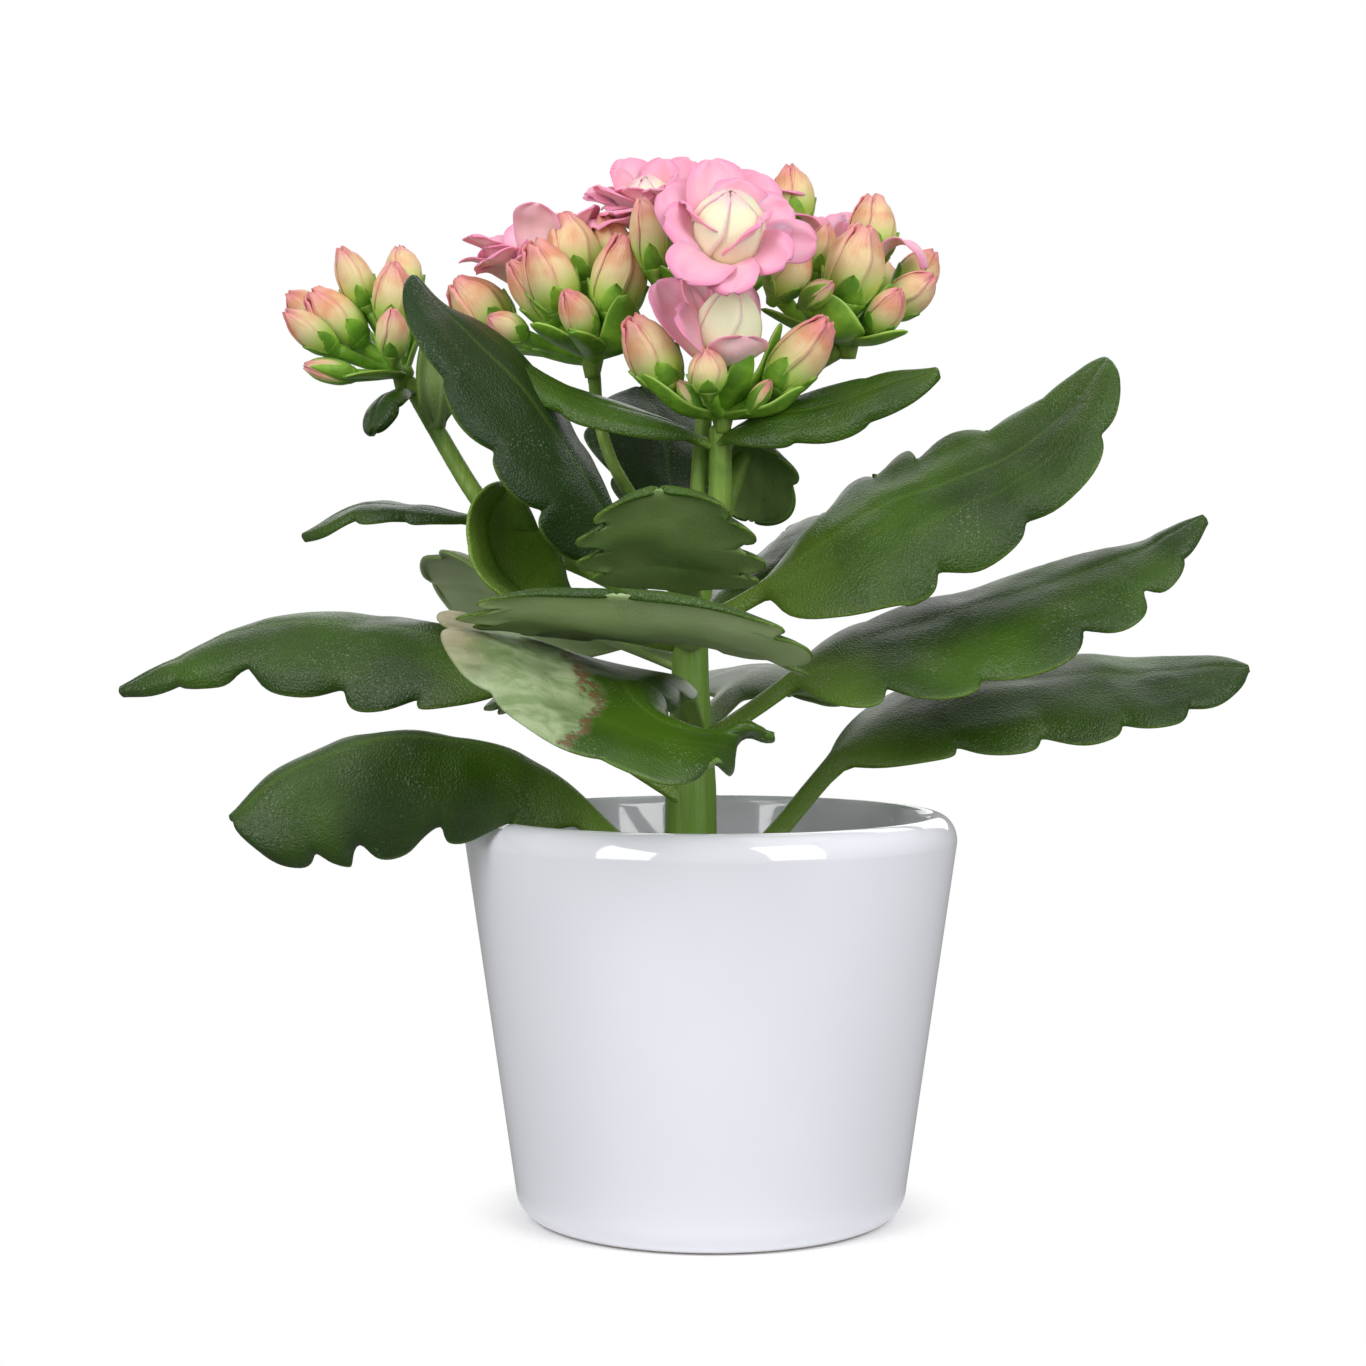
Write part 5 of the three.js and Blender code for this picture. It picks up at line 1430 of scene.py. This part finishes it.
class KALANCHOE_OT_heads(bpy.types.Operator):
    """Makes each flower head: its stalks, bracts and calyces, and the buds in them"""

    bl_idname = "kalanchoe.heads"
    bl_label = "Flower heads"

    # A bud with a smaller radius is still shut in its calyx, and one with a larger radius is ripe
    shut_below = 1.9
    ripe_above = 3.3
    bloom_stalk = 0.9

    def execute(self, context):
        cup = calyx("calyx")
        shut = calyx("shut calyx", tip=1.04)
        closed = bud_skin("closed bud", 4, parting=0.2)
        ripe = bud_skin("ripe bud", 5, parting=0.62)
        for name, spec in HEADS.items():
            rng = random.Random(f"head_{name}")
            hub = Vector(spec["hub"])
            node = stalk("hub", [hub - UP * 3, hub, hub + UP * 2.4], [1.2, 1.9, 0.8], 14, 12)
            coat(node, "stem")
            greens = [node]
            for bloom in spec["carries"]:
                foot = Vector(BLOOMS[bloom]["foot"])
                axis = Vector(BLOOMS[bloom]["axis"]).normalized()
                greens.append(pedicel(hub, foot + axis * BLOOM_SEAT, axis, self.bloom_stalk))
            buds = []
            for foot, tip, radius in spec["buds"]:
                foot, tip = Vector(foot), Vector(tip)
                width = 0.35 + 0.22 * radius
                greens.append(pedicel(hub, foot, (tip - foot).normalized(), width))
                sepals = shut if radius < self.shut_below else cup
                greens.append(copied(sepals, bud_place(foot, tip, radius)))
                pattern = ripe if radius > self.ripe_above else closed
                buds.append(copied(pattern, bud_place(foot, tip, radius, rng.uniform(0, 360))))
            for width, *spine in spec["bracts"]:
                greens.append(blade(
                    "bract", ["bract"], spine, width, petiole_width=1.2, profile=(0.5, 0.6), fold=-18,
                    thickness=0.7, root=1.2, edge=0.4, columns=8, rows=10))
            buds += [petal(**one) for one in spec.get("petals", [])]
            settle(join(f"{name}_greens", greens), "stem", f"head_{name}")
            settle(join(f"{name}_buds", buds), "head", f"head_{name}")
        discard(cup, shut, closed, ripe)
        return {"FINISHED"}


class KALANCHOE_OT_blooms(bpy.types.Operator):
    """Opens the double blooms, whorl by whorl, round their closed hearts"""

    bl_idname = "kalanchoe.blooms"
    bl_label = "Blooms"

    def execute(self, context):
        heart = bud_skin("heart", 5, parting=0.12, twist=60, skin="heart")
        for name, spec in BLOOMS.items():
            foot = Vector(spec["foot"])
            out = Vector(spec["axis"]).normalized()
            tall, radius = spec["heart"]
            made = [copied(heart, bud_place(foot, foot + out * tall, radius))]
            made += [bloom_petal(foot, out, *one) for one in spec["petals"]]
            settle(join(f"{name}_bloom", made), "bloom", f"bloom_{name}")
        discard(heart)
        return {"FINISHED"}


class KALANCHOE_OT_stage(bpy.types.Operator):
    """Sets the pale floor, the soft lights and the camera"""

    bl_idname = "kalanchoe.stage"
    bl_label = "Stage"

    # Metres, degrees and watts

    floor_radius = 0.9
    fade_start, fade_end = 0.027, 0.041
    backdrop_light = 0.32
    softboxes = (
        ("Window left", -40, 27, (0.48, 0.85), 6.1),
        ("Window right", 40, 27, (0.48, 0.85), 6.1),
        ("Overhead", 0, 80, (1.2, 0.9), 2.2),
        ("Behind", 180, 30, (1.2, 0.8), 4),
    )
    light_target = Vector((0, 0, 0.07))
    camera_place = (0, -0.4386, 0.1018)
    camera_turn = (87.76, 0, 0.58)
    camera_lens = 72.9

    def execute(self, context):
        scene = context.scene
        scene.view_settings.view_transform = "Standard"
        self.floor(scene)
        self.world(scene)
        for light in self.softboxes:
            self.softbox(*light)
        turn = [math.radians(angle) for angle in self.camera_turn]
        bpy.ops.object.camera_add(location=self.camera_place, rotation=turn)
        camera = context.object
        camera.name = "Camera"
        camera.data.lens = self.camera_lens
        camera.data.sensor_width = 36
        camera.data.clip_start = 0.01
        scene.camera = camera
        return {"FINISHED"}

    def floor(self, scene):
        """A pale disc that fades into the backdrop away from the pot."""
        deselect()
        bpy.ops.mesh.primitive_circle_add(vertices=96, radius=self.floor_radius, fill_type="NGON")
        floor = bpy.context.object
        floor.name = "Floor"
        paint = Finish("pale_floor", roughness=0.9, specular_ior_level=0.0)
        paint.lay("Base Color", scene.kalanchoe_colours.floor)
        settings = {"operation": "LENGTH"}
        far = paint.node("ShaderNodeVectorMath", settings, {0: paint.place()}, output="Value")
        fade = far.rise(self.fade_start, self.fade_end)
        clear = paint.tree.nodes.new("ShaderNodeBsdfTransparent")
        blend = paint.tree.nodes.new("ShaderNodeMixShader")
        paint.put(blend.inputs[0], fade)
        paint.tree.links.new(paint.shader.outputs[0], blend.inputs[1])
        paint.tree.links.new(clear.outputs[0], blend.inputs[2])
        paint.tree.links.new(blend.outputs[0], paint.tree.nodes["Material Output"].inputs["Surface"])
        floor.data.materials.append(paint.material)

    def world(self, scene):
        """A white backdrop that lights the plant less than it shows."""
        world = bpy.data.worlds.new("Studio")
        scene.world = world
        world.use_nodes = True
        tree = world.node_tree
        background = tree.nodes["Background"]
        background.inputs["Color"].default_value = (1, 1, 1, 1)
        path = tree.nodes.new("ShaderNodeLightPath")
        level = tree.nodes.new("ShaderNodeMapRange")
        level.inputs["To Min"].default_value = self.backdrop_light
        level.inputs["To Max"].default_value = 1.0
        tree.links.new(path.outputs["Is Camera Ray"], level.inputs["Value"])
        tree.links.new(level.outputs[0], background.inputs["Strength"])

    def softbox(self, name, azimuth, elevation, size, power):
        """A soft light a metre from the plant, turned to face it."""
        turn, rise = math.radians(azimuth), math.radians(elevation)
        aim = Vector((math.sin(turn) * math.cos(rise), -math.cos(turn) * math.cos(rise), math.sin(rise)))
        bpy.ops.object.light_add(type="AREA", location=self.light_target + aim)
        light = bpy.context.object
        light.name = name
        light.rotation_euler = aim.to_track_quat("Z", "Y").to_euler()
        light.data.shape = "RECTANGLE"
        light.data.size, light.data.size_y = size
        light.data.energy = power
        light.visible_camera = False


STEPS = (
    KALANCHOE_OT_cover_pot, KALANCHOE_OT_nursery_pot, KALANCHOE_OT_soil, KALANCHOE_OT_stem,
    KALANCHOE_OT_leaves, KALANCHOE_OT_heads, KALANCHOE_OT_blooms, KALANCHOE_OT_stage,
)


class KALANCHOE_PT_build(bpy.types.Panel):
    """Lists the steps that build the plant"""

    bl_label = "Potted Kalanchoe"
    bl_space_type = "VIEW_3D"
    bl_region_type = "UI"
    bl_category = "Kalanchoe"

    def draw(self, context):
        column = self.layout.column()
        for made in STEPS:
            column.operator(made.bl_idname)
        for group in (context.scene.kalanchoe_pots, context.scene.kalanchoe_colours):
            for name in group.__annotations__:
                column.prop(group, name)


CLASSES = (KalanchoeColours, KalanchoePots, *STEPS, KALANCHOE_PT_build)


def register():
    for made in CLASSES:
        bpy.utils.register_class(made)
    bpy.types.Scene.kalanchoe_colours = bpy.props.PointerProperty(type=KalanchoeColours)
    bpy.types.Scene.kalanchoe_pots = bpy.props.PointerProperty(type=KalanchoePots)


def unregister():
    del bpy.types.Scene.kalanchoe_pots
    del bpy.types.Scene.kalanchoe_colours
    for made in reversed(CLASSES):
        bpy.utils.unregister_class(made)


def main():
    register()
    bpy.ops.kalanchoe.cover_pot()
    bpy.ops.kalanchoe.nursery_pot()
    bpy.ops.kalanchoe.soil()
    bpy.ops.kalanchoe.stem()
    bpy.ops.kalanchoe.leaves()
    bpy.ops.kalanchoe.heads()
    bpy.ops.kalanchoe.blooms()
    bpy.ops.kalanchoe.stage()


if __name__ == "__main__":
    main()
